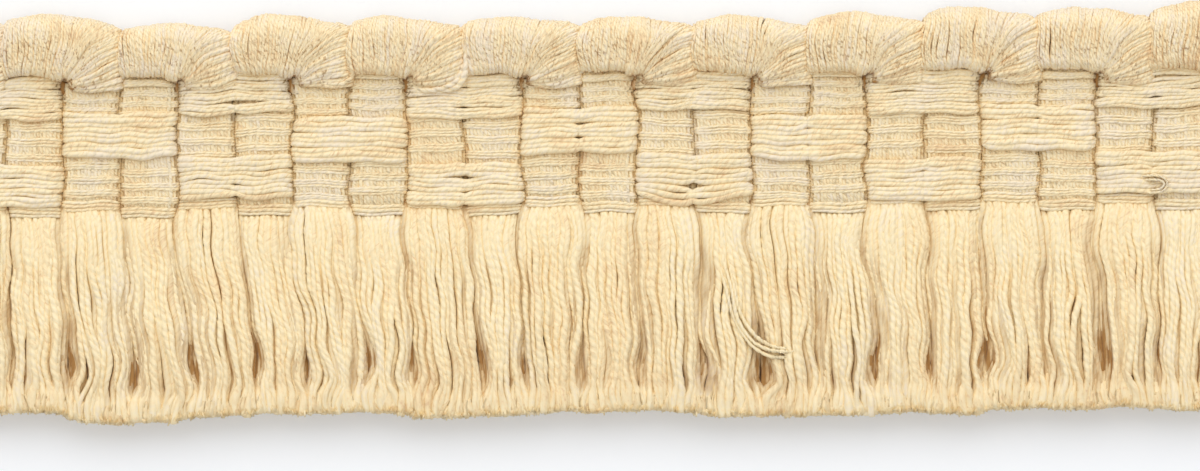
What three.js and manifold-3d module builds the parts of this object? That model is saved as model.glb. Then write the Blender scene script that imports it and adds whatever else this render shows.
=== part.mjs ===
// A brush fringe trim, cut from the length, in millimetres.
//
// It is woven from one thick weft of soft cotton strands. The weft bundles stand side by side
// as columns. Each bundle comes up out of the brush, runs through the woven heading, turns over
// in a fat loop along the top edge and goes down the next column into the brush again, where it
// is cut. Groups of warp yarns run along the trim and hold the columns in a basket weave.
//
// The trim lies on its back: +X along its length, +Y to the looped edge, +Z up out of its face.
import * as THREE from 'three';
import { mergeVertices } from 'three/addons/utils/BufferGeometryUtils.js';
import Module from 'manifold-3d';

const wasm = await Module();
wasm.setup();

// ---- Driving dimensions -------------------------------------------------------------------

const columnPitch = 7.17;      // width of one weft bundle in the heading
const columnCount = 24;        // two columns for each loop
const clearance = 0.3;         // gap kept between pieces that touch on the real trim

const headingDepth = 17.9;     // fringe edge to looped edge, at the first column of a loop
const headingShortfall = 1.5;  // the second column of a loop is covered this much further
const seamHeight = 1.7;        // thickness in the furrow between two columns
const singleHeight = 3.7;      // thickness where warps cross one column
const floatHeight = 4.3;       // thickness where warps float over a pair of columns
const pinchHeight = 3.4;       // thickness at the pinch halfway along a float
const zoneGroove = 0.35;       // how much the face dips between one zone and the next

const loopHeight = 6.2;        // how far a loop stands off the surface
const eyeWidth = 0.3;          // gap between a loop's two legs
const eyeReach = 0.5;          // how far that gap runs up into the turn
const cornering = 0.55;        // below 1, the turn has fuller shoulders than a round one

const spineDepth = 2.4;        // strip below the heading in which the bunches are still one
const spineHeight = 2.8;
const bunchRootHeight = 3.2;   // thickness of a bunch as it leaves the heading
const bunchHeight = 4.8;       // thickness of a bunch where it is fullest
const bunchCutHeight = 4.3;    // thickness at its cut end

// Zones of the weave, up from the fringe edge: in each one the warps float over a pair of
// columns ('float') or cross each column alone ('single'). Neighbouring pairs take turns.
const zoneEdges = [0, 1.0, 7.0, 12.6, headingDepth];
const zoneKinds = [
  ['single', 'single', 'float', 'single'],
  ['single', 'float', 'single', 'float'],
];

// One row for each loop: how far it reaches above the heading, and where its crown leans.
const loops = [
  { reach: 7.0, lean: 0.3 }, { reach: 7.2, lean: -1.2 }, { reach: 5.9, lean: -0.2 },
  { reach: 6.7, lean: -0.5 }, { reach: 6.6, lean: -1.1 }, { reach: 6.5, lean: -1.2 },
  { reach: 6.2, lean: -1.2 }, { reach: 6.4, lean: -0.6 }, { reach: 6.7, lean: -0.5 },
  { reach: 7.1, lean: -0.5 }, { reach: 7.1, lean: 1.0 }, { reach: 7.0, lean: 0.2 },
];

// One row for each bunch of the brush: how long it hangs, how far the parting on its right
// wanders along the trim towards the cut end, and how wide that parting opens.
const bunches = [
  { drop: 25.2, wander: 0.4, parting: 0.4 }, { drop: 24.9, wander: 0.6, parting: 0.3 },
  { drop: 24.8, wander: 0.7, parting: 0.9 }, { drop: 25.7, wander: 1.4, parting: 0.8 },
  { drop: 26.4, wander: 1.8, parting: 0.7 }, { drop: 25.5, wander: 2.4, parting: 0.7 },
  { drop: 25.4, wander: 1.5, parting: 0.9 }, { drop: 25.3, wander: 1.9, parting: 0.7 },
  { drop: 25.2, wander: 0.4, parting: 0.9 }, { drop: 25.8, wander: 1.9, parting: 0.7 },
  { drop: 25.5, wander: 0.3, parting: 0.8 }, { drop: 25.3, wander: 0.2, parting: 0.3 },
  { drop: 25.4, wander: 0.3, parting: 0.3 }, { drop: 25.4, wander: 0.6, parting: 0.7 },
  { drop: 26.0, wander: 1.2, parting: 1.5 }, { drop: 25.8, wander: 0.6, parting: 0.3 },
  { drop: 25.9, wander: 0.9, parting: 1.1 }, { drop: 25.6, wander: 0.5, parting: 0.8 },
  { drop: 26.1, wander: 0.2, parting: 1.5 }, { drop: 25.4, wander: 0.3, parting: 0.3 },
  { drop: 25.3, wander: 0.6, parting: 0.9 }, { drop: 25.1, wander: 0.5, parting: 0.3 },
  { drop: 25.5, wander: 0.3, parting: 0.4 }, { drop: 25.4, wander: 0.0, parting: 0.3 },
];

const trimLength = columnPitch * columnCount;
const leftEnd = -trimLength / 2;

// ---- Solids from sections -----------------------------------------------------------------

// A closed body through a row of sections, each a list of points that runs the same way round.
function loft(sections) {
  const count = sections[0].length;
  const indices = [];
  for (let step = 0; step + 1 < sections.length; step += 1) {
    for (let side = 0; side < count; side += 1) {
      const a = step * count + side;
      const b = step * count + (side + 1) % count;
      indices.push(a, b, b + count, a, b + count, a + count);
    }
  }
  const last = (sections.length - 1) * count;
  for (let side = 1; side + 1 < count; side += 1) {
    indices.push(0, side + 1, side);
    indices.push(last, last + side, last + side + 1);
  }
  const geometry = new THREE.BufferGeometry().setFromPoints(sections.flat());
  geometry.setIndex(indices);
  return geometry;
}

function toManifold(geometry) {
  const bare = geometry.clone();
  bare.deleteAttribute('normal');
  bare.deleteAttribute('uv');
  const merged = mergeVertices(bare);
  return new wasm.Manifold(new wasm.Mesh({
    numProp: 3,
    vertProperties: new Float32Array(merged.attributes.position.array),
    triVerts: new Uint32Array(merged.index.array),
  }));
}

function fromManifold(solid) {
  const mesh = solid.getMesh();
  const geometry = new THREE.BufferGeometry();
  geometry.setAttribute('position', new THREE.BufferAttribute(mesh.vertProperties, 3));
  geometry.setIndex(new THREE.BufferAttribute(mesh.triVerts, 1));
  return geometry;
}

function named(name, geometry, material) {
  geometry.computeVertexNormals();
  const mesh = new THREE.Mesh(geometry, material);
  mesh.name = name;
  return mesh;
}

const mix = (from, to, share) => from + (to - from) * share;

// ---- Heading ------------------------------------------------------------------------------

// A pair is the second column of one loop and the first column of the next.
function zoneOf(column, zone) {
  const pair = Math.floor((column + 1) / 2);
  return zoneKinds[pair % zoneKinds.length][zone];
}

// Thickness of the heading at a share of the way across a column, inside one zone.
function faceHeight(column, across, zone) {
  const kind = zoneOf(column, zone);
  const crown = kind === 'float' ? floatHeight : singleHeight;
  const pinchSide = column % 2 === 1 ? across > 0.5 : across < 0.5;
  const edge = kind === 'float' && pinchSide ? pinchHeight : seamHeight;
  return mix(edge, crown, Math.sqrt(Math.sin(Math.PI * across)));
}

// One section of the heading, square to its length: the face from the fringe edge up, with a
// groove between zones, and the flat back.
function headingSection(column, across) {
  const x = leftEnd + columnPitch * (column + across);
  const shortfall = column % 2 === 1 ? headingShortfall : 0;
  const points = [new THREE.Vector3(x, zoneEdges[0], 0)];
  for (let zone = 0; zone + 1 < zoneEdges.length; zone += 1) {
    const isLast = zone + 2 === zoneEdges.length;
    const from = zoneEdges[zone];
    const to = isLast ? zoneEdges[zone + 1] - shortfall : zoneEdges[zone + 1];
    const height = faceHeight(column, across, zone);
    points.push(new THREE.Vector3(x, from, height - zoneGroove));
    if (zone > 0) points.push(new THREE.Vector3(x, (from + to) / 2, height));
    if (isLast) points.push(new THREE.Vector3(x, to, height - zoneGroove));
  }
  points.push(new THREE.Vector3(x, zoneEdges.at(-1) - shortfall, 0));
  return points.reverse();
}

function headingBand() {
  const sections = [];
  for (let column = 0; column < columnCount; column += 1) {
    const stops = [0.02, 0.2, 0.5, 0.8, 0.98];
    for (const across of stops) sections.push(headingSection(column, across));
  }
  return loft(sections);
}

// ---- Loops --------------------------------------------------------------------------------

// A loop's section from its outer edge in to its eye: shares of its width and height. It is
// round on top and flat underneath, where it lies on the surface.
const loopSection = [
  { out: 0.12, up: 0.00 }, { out: 0.86, up: 0.00 }, { out: 1.00, up: 0.32 },
  { out: 0.93, up: 0.62 }, { out: 0.70, up: 0.92 }, { out: 0.38, up: 1.00 },
  { out: 0.12, up: 0.80 }, { out: 0.00, up: 0.42 },
];

function loopSectionAt(inner, outer) {
  return loopSection.map(({ out, up }) => new THREE.Vector3(
    mix(inner.x, outer.x, out), mix(inner.y, outer.y, out), loopHeight * up));
}

// The bundle comes up the first column, turns over round the eye and goes down the second.
function turnedLoop(index) {
  const { reach, lean } = loops[index];
  const eyeX = leftEnd + columnPitch * (2 * index + 1);
  const eyeY = headingDepth + clearance;
  const outerHalf = columnPitch - clearance / 2;
  const turnSteps = 10;
  const sections = [];
  for (let step = 0; step <= turnSteps; step += 1) {
    const angle = Math.PI * step / turnSteps;
    const rise = Math.sin(angle) ** cornering;
    const side = -Math.sign(Math.cos(angle)) * Math.abs(Math.cos(angle)) ** cornering;
    const leaned = lean * rise * (1 - side * side);
    sections.push(loopSectionAt(
      { x: eyeX + side * eyeWidth / 2, y: eyeY + eyeReach * rise },
      { x: eyeX + side * outerHalf + leaned, y: eyeY + reach * rise },
    ));
  }
  sections.push(loopSectionAt(
    { x: eyeX + eyeWidth / 2, y: eyeY - headingShortfall },
    { x: eyeX + outerHalf, y: eyeY - headingShortfall },
  ));
  return loft(sections);
}

// ---- Brush --------------------------------------------------------------------------------

// A bunch's section from its right parting to its left one: shares of its width and thickness.
const bunchSection = [
  { across: 0.06, up: 0.00 }, { across: 0.94, up: 0.00 }, { across: 1.00, up: 0.34 },
  { across: 0.91, up: 0.78 }, { across: 0.66, up: 1.00 }, { across: 0.34, up: 1.00 },
  { across: 0.09, up: 0.78 }, { across: 0.00, up: 0.34 },
];

// Stations down a bunch, as shares of its drop: how far its partings have wandered, how far
// they have opened, and how thick it has grown.
const bunchStations = [
  { down: 0.012, wandered: 0.0, opened: 0.0, thickness: bunchRootHeight },
  { down: 0.16, wandered: 0.1, opened: 0.0, thickness: 3.8 },
  { down: 0.38, wandered: 0.4, opened: 0.15, thickness: 4.3 },
  { down: 0.60, wandered: 0.75, opened: 0.6, thickness: bunchHeight },
  { down: 0.78, wandered: 0.95, opened: 1.0, thickness: bunchHeight },
  { down: 0.92, wandered: 1.0, opened: 0.5, thickness: bunchHeight },
  { down: 1.0, wandered: 1.0, opened: 0.2, thickness: bunchCutHeight },
];

// Half of a parting's gap, and its place, on the right of the bunch with this number.
function partingAt(number, station) {
  const isEnd = number < 0 || number === columnCount - 1;
  const { wander, parting } = isEnd ? { wander: 0, parting: 0 } : bunches[number];
  const open = isEnd ? 0 : Math.max(clearance, parting * station.opened);
  return {
    x: leftEnd + columnPitch * (number + 1) + wander * station.wandered,
    half: open / 2,
  };
}

function brushBunch(number) {
  const { drop } = bunches[number];
  const sections = bunchStations.map((station) => {
    const left = partingAt(number - 1, station);
    const right = partingAt(number, station);
    const y = -Math.max(clearance, drop * station.down);
    return bunchSection.map(({ across, up }) => new THREE.Vector3(
      mix(left.x + left.half, right.x - right.half, across), y, station.thickness * up));
  });
  return loft(sections);
}

// The bunches hang as one comb from the strip in which the heading still holds them.
function fringeComb() {
  const spine = new THREE.BoxGeometry(trimLength, spineDepth - clearance, spineHeight);
  spine.translate(0, -(spineDepth + clearance) / 2, spineHeight / 2);
  let comb = toManifold(spine);
  for (let number = 0; number < columnCount; number += 1) {
    comb = comb.add(toManifold(brushBunch(number)));
  }
  return fromManifold(comb);
}

// ---- Trim ---------------------------------------------------------------------------------

const cotton = (color) => new THREE.MeshStandardMaterial({ color, roughness: 0.85, metalness: 0 });

const trim = new THREE.Group();
trim.add(named('heading_band', headingBand(), cotton(0xe9d1a7)));
for (let index = 0; index < loops.length; index += 1) {
  const name = `loop_${String(index + 1).padStart(2, '0')}`;
  trim.add(named(name, turnedLoop(index), cotton(0xecd4aa)));
}
trim.add(named('fringe_comb', fringeComb(), cotton(0xe9cea2)));

// The origin is the middle of the trim's footprint, on the surface that it lies on.
const box = new THREE.Box3().setFromObject(trim);
const middle = box.getCenter(new THREE.Vector3());
trim.position.set(-middle.x, -middle.y, -box.min.z);

const part = new THREE.Group();
part.add(trim);
export default part;
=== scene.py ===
"""Brush fringe trim: yarns, strands and finishes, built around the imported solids.

The trim lies on its back. The classes work in millimetres in the heading's own axes: x along
the trim, y up from the heading's fringe edge, z up out of the face. YarnPiece turns them into
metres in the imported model's frame when it writes a mesh.
"""

from __future__ import annotations

import logging
import math
from dataclasses import dataclass, field, fields
from enum import Enum

import bpy
import numpy as np
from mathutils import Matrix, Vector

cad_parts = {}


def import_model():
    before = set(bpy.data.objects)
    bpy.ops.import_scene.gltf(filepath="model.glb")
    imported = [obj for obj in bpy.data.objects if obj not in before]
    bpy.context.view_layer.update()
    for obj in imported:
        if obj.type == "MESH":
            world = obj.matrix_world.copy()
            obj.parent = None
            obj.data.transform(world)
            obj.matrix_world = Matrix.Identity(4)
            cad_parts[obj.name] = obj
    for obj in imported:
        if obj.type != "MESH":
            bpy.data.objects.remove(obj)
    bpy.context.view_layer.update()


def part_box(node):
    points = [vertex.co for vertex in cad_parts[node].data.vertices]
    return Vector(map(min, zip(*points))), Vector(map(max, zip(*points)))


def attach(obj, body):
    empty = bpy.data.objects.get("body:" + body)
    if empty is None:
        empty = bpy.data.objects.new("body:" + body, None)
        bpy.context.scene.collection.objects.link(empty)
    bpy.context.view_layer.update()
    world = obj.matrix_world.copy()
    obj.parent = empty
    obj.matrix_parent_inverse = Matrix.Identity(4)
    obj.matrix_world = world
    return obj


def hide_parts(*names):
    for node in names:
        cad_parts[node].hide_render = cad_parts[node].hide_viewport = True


LOG = logging.getLogger("brush_fringe_trim")
METRES = 0.001
TURN = 2.0 * math.pi
SEED = 20
Measure = float | np.ndarray


# ---- Plan of the trim ---------------------------------------------------------------------


@dataclass(frozen=True)
class Bunch:
    """One bunch of the brush.

    Attributes:
        drop: How long it hangs below the heading.
        wander: How far the parting on its right wanders along the trim.
        parting: How wide that parting opens.
    """

    drop: float
    wander: float
    parting: float


@dataclass(frozen=True)
class LoopShape:
    """One turned loop.

    Attributes:
        reach: How far it stands above the heading's edge.
        lean: How far its crown leans along the trim.
    """

    reach: float
    lean: float


@dataclass(frozen=True)
class Sag:
    """A float that hangs slack.

    Attributes:
        group: Which warp group, counted from the fringe edge.
        pair: Which pair of columns it spans.
        depth: How far its middle sinks towards the fringe.
        splay: How far its yarns part there, as a share of their spacing.
    """

    group: int
    pair: int
    depth: float
    splay: float = 0.0


@dataclass(frozen=True)
class Stray:
    """A few yarns that have worked loose.

    Attributes:
        home: The piece they belong to.
        strands: How many lie side by side.
        radius: Half the thickness of one.
        winding: Turns that they wind round one another for each millimetre.
        route: Points of their route, each x, y and z.
    """

    home: str
    strands: int
    radius: float
    winding: float
    route: tuple[tuple[float, float, float], ...]


@dataclass(frozen=True)
class Ripple:
    """One slow wave in which the whole trim lies out of line.

    Attributes:
        height: How far it pushes.
        along: Its length along the trim.
        across: Its length across the trim, infinite where it has none.
        start: Where in a swing it starts, in turns.
    """

    height: float
    along: float
    across: float
    start: float = 0.0

    def push(self, x: np.ndarray, y: np.ndarray) -> np.ndarray:
        """How far it pushes each place."""
        return self.height * np.sin(TURN * (x / self.along + y / self.across + self.start))


@dataclass(frozen=True)
class Profile:
    """One measure that changes evenly between a few places.

    Attributes:
        places: The places, in rising order.
        values: The measure at each place.
    """

    places: tuple[float, ...]
    values: tuple[float, ...]

    def at(self, place: np.ndarray | float) -> np.ndarray:
        """The measure at any place."""
        return np.interp(place, self.places, self.values)


BUNCHES = (
    Bunch(25.2, 0.4, 0.4), Bunch(24.9, 0.6, 0.3), Bunch(24.8, 0.7, 0.9),
    Bunch(26.2, 1.4, 0.8), Bunch(26.1, 1.8, 0.7), Bunch(25.5, 2.4, 0.7),
    Bunch(25.4, 1.5, 0.9), Bunch(25.3, 1.9, 0.7), Bunch(25.2, 0.4, 0.9),
    Bunch(25.8, 1.9, 0.7), Bunch(25.5, 0.3, 0.8), Bunch(25.3, 0.2, 0.3),
    Bunch(25.4, 0.3, 0.3), Bunch(25.4, 0.6, 0.7), Bunch(26.0, 1.2, 1.5),
    Bunch(25.8, 0.6, 0.3), Bunch(25.9, 0.9, 1.1), Bunch(25.6, 0.5, 0.8),
    Bunch(26.1, 0.2, 1.5), Bunch(25.4, 0.3, 0.3), Bunch(25.3, 0.6, 0.9),
    Bunch(25.1, 0.5, 0.3), Bunch(25.5, 0.3, 0.4), Bunch(25.4, 0.0, 0.3),
)

LOOPS = (
    LoopShape(7.0, 0.3), LoopShape(7.2, -1.2), LoopShape(5.9, -0.2), LoopShape(6.7, -0.5),
    LoopShape(6.6, -1.1), LoopShape(6.5, -1.2), LoopShape(6.2, -1.2), LoopShape(6.4, -0.6),
    LoopShape(6.7, -0.5), LoopShape(7.1, -0.5), LoopShape(7.1, 1.0), LoopShape(7.8, 0.2),
)

SAGS = (
    Sag(2, 7, 1.1), Sag(3, 7, 1.15, 0.55), Sag(5, 7, 0.35, 0.3), Sag(7, 7, 0.1),
    Sag(9, 4, 0.25), Sag(13, 8, 0.2), Sag(15, 3, 0.25), Sag(19, 11, 0.3),
)

STRAYS = (
    Stray("brush_bunch_15", 3, 0.27, 0.0, (
        (17.6, -4.5, 3.7), (18.1, -7.4, 4.4), (18.9, -10.6, 4.9), (20.0, -13.8, 5.1),
        (21.4, -16.1, 5.1), (23.2, -17.2, 5.0), (25.2, -17.5, 4.9), (27.2, -17.6, 4.2),
    )),
    Stray("loop_yarn_04", 2, 0.33, 0.07, (
        (-36.0, 17.0, 2.8), (-34.6, 16.3, 3.6), (-32.4, 15.9, 3.9), (-30.2, 16.1, 4.1),
        (-28.7, 17.1, 4.3), (-28.0, 18.6, 4.6), (-28.3, 20.2, 4.9), (-29.4, 21.6, 4.2),
    )),
    Stray("loop_yarn_05", 3, 0.42, 0.07, (
        (-21.5, 16.6, 2.8), (-19.8, 15.8, 3.8), (-17.6, 15.5, 4.0), (-15.6, 16.2, 4.3),
        (-14.2, 18.0, 4.7), (-13.7, 20.4, 4.7), (-13.6, 22.4, 4.2),
    )),
    Stray("loop_yarn_09", 2, 0.33, 0.07, (
        (36.0, 16.8, 2.8), (38.0, 16.2, 3.7), (40.2, 16.5, 4.0), (42.2, 17.7, 4.3),
        (43.1, 19.6, 4.5), (42.9, 21.8, 4.1),
    )),
    Stray("warp_yarns_1", 2, 0.2, 0.0, (
        (69.6, 3.6, 3.4), (70.8, 3.8, 4.4), (72.3, 3.7, 4.5), (73.1, 3.0, 4.5),
        (72.5, 2.2, 4.5), (71.2, 2.1, 4.4), (70.2, 2.4, 3.4),
    )),
)

# A soft trim never lies quite in line: pushes along the trim, then across it.
RIPPLES = (
    (Ripple(0.13, 37.0, 12.7, 0.3), Ripple(0.12, 15.3, -8.9), Ripple(0.09, 6.1, 5.7)),
    (Ripple(0.14, 43.0, math.inf, 0.1), Ripple(0.08, 11.9, 17.0), Ripple(0.07, 5.3, -13.0, 0.6)),
)

# A loop's outer edge: distance from the eye in column widths, and height as a share of its reach.
CROWN = Profile(
    (-1.0, -0.92, -0.84, -0.7, -0.56, -0.35, -0.14, 0.07, 0.28, 0.49, 0.7, 0.84, 0.92, 1.0),
    (0.80, 0.87, 0.90, 0.94, 0.97, 1.0, 0.99, 0.975, 0.945, 0.90, 0.86, 0.84, 0.81, 0.76),
)


@dataclass(frozen=True)
class TrimPlan:
    """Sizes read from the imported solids, in millimetres.

    Attributes:
        left: x of the trim's left end.
        pitch: Width of one weft column.
        columns: How many columns there are.
        fringe_edge: y of the heading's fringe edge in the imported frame.
        heading_depth: Fringe edge to looped edge.
        heading_height: Thickness of the heading at its floats.
        loop_height: Thickness of a loop.
        brush_height: Thickness of the brush where it is fullest.
    """

    left: float
    pitch: float
    columns: int
    fringe_edge: float
    heading_depth: float
    heading_height: float
    loop_height: float
    brush_height: float

    @classmethod
    def from_frame(cls) -> TrimPlan:
        """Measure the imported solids.

        Returns:
            The plan that every class builds from.
        """
        comb_low, comb_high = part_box("fringe_comb")
        band_low, band_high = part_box("heading_band")
        _, loop_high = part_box("loop_01")
        columns = len(BUNCHES)
        left, right = comb_low[0] / METRES, comb_high[0] / METRES
        return cls(
            left=left,
            pitch=(right - left) / columns,
            columns=columns,
            fringe_edge=band_low[1] / METRES,
            heading_depth=(band_high[1] - band_low[1]) / METRES,
            heading_height=band_high[2] / METRES,
            loop_height=loop_high[2] / METRES,
            brush_height=comb_high[2] / METRES,
        )

    def seam(self, number: float) -> float:
        """x of the seam on the left of a column."""
        return self.left + self.pitch * number

    @property
    def right(self) -> float:
        """x of the trim's right end."""
        return self.seam(self.columns)

    def is_end(self, number: int) -> bool:
        """Tell whether a column is the trim's first or last."""
        return number in (0, self.columns - 1)


# ---- Small mathematics --------------------------------------------------------------------


def ease(value: np.ndarray, start: float, end: float) -> np.ndarray:
    """Rise smoothly from 0 at start to 1 at end.

    Args:
        value: Where to measure.
        start: Where the rise begins.
        end: Where it ends.

    Returns:
        The height of the rise at each value.
    """
    share = np.clip((value - start) / (end - start), 0.0, 1.0)
    return share * share * (3.0 - 2.0 * share)


def hump(value: np.ndarray, start: float, full: float, wane: float, end: float) -> np.ndarray:
    """Rise smoothly from 0 to 1 and fall back to 0.

    Args:
        value: Where to measure.
        start: Where the rise begins.
        full: Where it ends.
        wane: Where the fall begins.
        end: Where it ends.

    Returns:
        The height of the hump at each value.
    """
    return ease(value, start, full) * (1.0 - ease(value, wane, end))


def wander(rng: np.random.Generator, count: int, along: np.ndarray, cycles: float) -> np.ndarray:
    """Make slow random swings for several yarns, each about one unit either way.

    Args:
        rng: Source of randomness.
        count: How many yarns.
        along: Stations from 0 to 1.
        cycles: Swings in that length.

    Returns:
        An array of one row for each yarn.
    """
    total = np.zeros((count, along.size))
    for harmonic in (0.6, 1.0, 1.7):
        phase = rng.uniform(0.0, TURN, (count, 1))
        rate = cycles * harmonic * rng.uniform(0.8, 1.2, (count, 1))
        total += np.sin(TURN * rate * along[None, :] + phase) / (0.8 + harmonic)
    return total * 0.62


def uneven(points: np.ndarray) -> np.ndarray:
    """Push points a few tenths of a millimetre out of line, as the loom and handling do.

    Args:
        points: Points in the heading's axes.

    Returns:
        The points, moved along and across the trim.
    """
    x, y = points[..., 0], points[..., 1]
    along, across = (sum(ripple.push(x, y) for ripple in ripples) for ripples in RIPPLES)
    return points + np.stack([along, across, 0.0 * x], axis=-1)


def through(controls: np.ndarray, knots: np.ndarray, samples: np.ndarray) -> np.ndarray:
    """Run smooth curves through rows of control points.

    Args:
        controls: One row of points for each curve.
        knots: The parameter of each control point.
        samples: The parameters to read the curves at.

    Returns:
        One row of sampled points for each curve.
    """
    slopes = np.gradient(controls, knots, axis=1)
    step = np.clip(np.searchsorted(knots, samples, side="right") - 1, 0, knots.size - 2)
    width = knots[step + 1] - knots[step]
    t = ((samples - knots[step]) / width)[None, :, None]
    h = width[None, :, None]
    start, end = controls[:, step], controls[:, step + 1]
    leave, arrive = slopes[:, step], slopes[:, step + 1]
    return (
        (2 * t**3 - 3 * t**2 + 1) * start
        + (t**3 - 2 * t**2 + t) * h * leave
        + (3 * t**2 - 2 * t**3) * end
        + (t**3 - t**2) * h * arrive
    )


# ---- Yarns --------------------------------------------------------------------------------


class Section(Enum):
    """The outline of a yarn: (angle in turns, share of the radius) for each corner."""

    TWO_PLY = ((-0.11, 1.0), (0.11, 1.0), (0.25, 0.83), (0.39, 1.0), (0.61, 1.0), (0.75, 0.83))
    ROUND = ((0.0, 1.0), (0.2, 1.0), (0.4, 1.0), (0.6, 1.0), (0.8, 1.0))
    FLAT_RIB = (
        (0.121, 1.38), (0.168, 1.15), (0.332, 1.15), (0.379, 1.38),
        (0.621, 1.38), (0.668, 1.15), (0.832, 1.15), (0.879, 1.38),
    )
    CUSHION = tuple((corner / 14, 1.0) for corner in range(14))
    FIBRE = ((0.0, 1.0), (0.3333, 1.0), (0.6667, 1.0))


@dataclass
class Yarns:
    """Yarns that share a section and a number of stations.

    Attributes:
        paths: Centre lines, shaped (yarns, stations, 3).
        radii: Radius at each station, of any shape that spreads over yarns and stations.
        tone: How dark or pale each yarn is, from 0 to 1.
        depth: How much painted shade each station takes, 0 at the face, spread like radii.
        turns: Twist at each station, in turns, spread like radii.
        section: The yarns' outline.
        turned: Whether the outline turns with the twist, or the finish alone draws it.
        tall: How much taller than wide the outline is, spread like radii.
    """

    paths: np.ndarray
    radii: np.ndarray
    tone: np.ndarray | float
    depth: np.ndarray | float = 0.0
    turns: np.ndarray | float = 0.0
    section: Section = Section.ROUND
    turned: bool = False
    tall: np.ndarray | float = 1.0

    def __post_init__(self) -> None:
        """Spread every measure over all yarns and stations."""
        shape = self.paths.shape[:2]
        for name in ("radii", "depth", "turns", "tall"):
            setattr(self, name, np.broadcast_to(getattr(self, name), shape).copy())
        self.tone = np.broadcast_to(self.tone, shape[:1]).copy()

    @property
    def lengths(self) -> np.ndarray:
        """Length of each yarn up to each station."""
        steps = np.linalg.norm(np.diff(self.paths, axis=1), axis=2)
        return np.concatenate([np.zeros((len(steps), 1)), np.cumsum(steps, axis=1)], axis=1)

    @property
    def surface(self) -> float:
        """Rough surface of all the yarns."""
        return float(np.sum(self.lengths[:, -1]) * 4.0 * np.mean(self.radii * (1.0 + self.tall)))

    def corners(self) -> np.ndarray:
        """Sweep the outline along every path.

        Returns:
            Corner points, shaped (yarns, stations, corners, 3).
        """
        tangents = np.gradient(self.paths, axis=1)
        tangents /= np.linalg.norm(tangents, axis=2, keepdims=True) + 1e-12
        upright = np.abs(tangents[:, :1, 2:]) > 0.8
        guide = np.where(upright, np.array([1.0, 0.0, 0.0]), np.array([0.0, 0.0, 1.0]))
        side = np.cross(tangents[:, 0], guide[:, 0])
        sides = np.empty_like(self.paths)
        for station in range(self.paths.shape[1]):
            tangent = tangents[:, station]
            side = side - tangent * np.sum(side * tangent, axis=1, keepdims=True)
            side /= np.linalg.norm(side, axis=1, keepdims=True) + 1e-12
            sides[:, station] = side
        tops = np.cross(tangents, sides)
        outline = np.array(self.section.value)
        angle = outline[:, 0] + (self.turns[..., None] if self.turned else 0.0)
        angle = np.broadcast_to(angle, (*self.radii.shape, len(outline))) * TURN
        wide = self.radii[..., None] * outline[:, 1]
        high = wide * self.tall[..., None]
        return (
            self.paths[:, :, None, :]
            + (wide * np.cos(angle))[..., None] * sides[:, :, None, :]
            + (high * np.sin(angle))[..., None] * tops[:, :, None, :]
        )


def stray_yarns(stray: Stray, stations: int = 40, twist: float = 0.45) -> Yarns:
    """Lay loose yarns along their route, side by side or wound round one another.

    Args:
        stray: The yarns.
        stations: Stations along each.
        twist: Turns of the plies for each millimetre.

    Returns:
        Two-ply yarns.
    """
    count, route = stray.strands, np.array(stray.route)
    path = through(route[None], np.arange(len(route)), np.linspace(0.0, len(route) - 1, stations))
    ahead = np.gradient(path[0], axis=0)
    length = np.cumsum(np.linalg.norm(ahead, axis=1))
    aside = np.stack([-ahead[:, 1], ahead[:, 0], 0.0 * ahead[:, 0]], axis=1)
    aside /= np.linalg.norm(aside, axis=1, keepdims=True)
    order = (np.arange(count) - (count - 1) / 2.0)[:, None]
    if stray.winding:
        turn = TURN * (order / count + stray.winding * length)
        out, up = 0.75 * stray.radius * np.sin(turn), 0.6 * stray.radius * np.cos(turn)
    else:
        out = 1.9 * stray.radius * order * (1.0 + 0.4 * np.sin(0.55 * length + order))
        up = -0.15 * np.abs(order) + 0.1 * np.sin(0.8 * length + 2.0 * order)
    paths = path + out[..., None] * aside[None]
    paths[..., 2] += up
    thinned_ends = np.where(np.isin(np.arange(stations), (0, stations - 1)), 0.7, 1.0)
    yarns = Yarns(
        paths, stray.radius * thinned_ends, tone=0.2 + 0.08 * np.arange(count),
        section=Section.TWO_PLY, turned=True,
    )
    yarns.turns = twist * yarns.lengths + 0.37 * order
    return yarns


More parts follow.
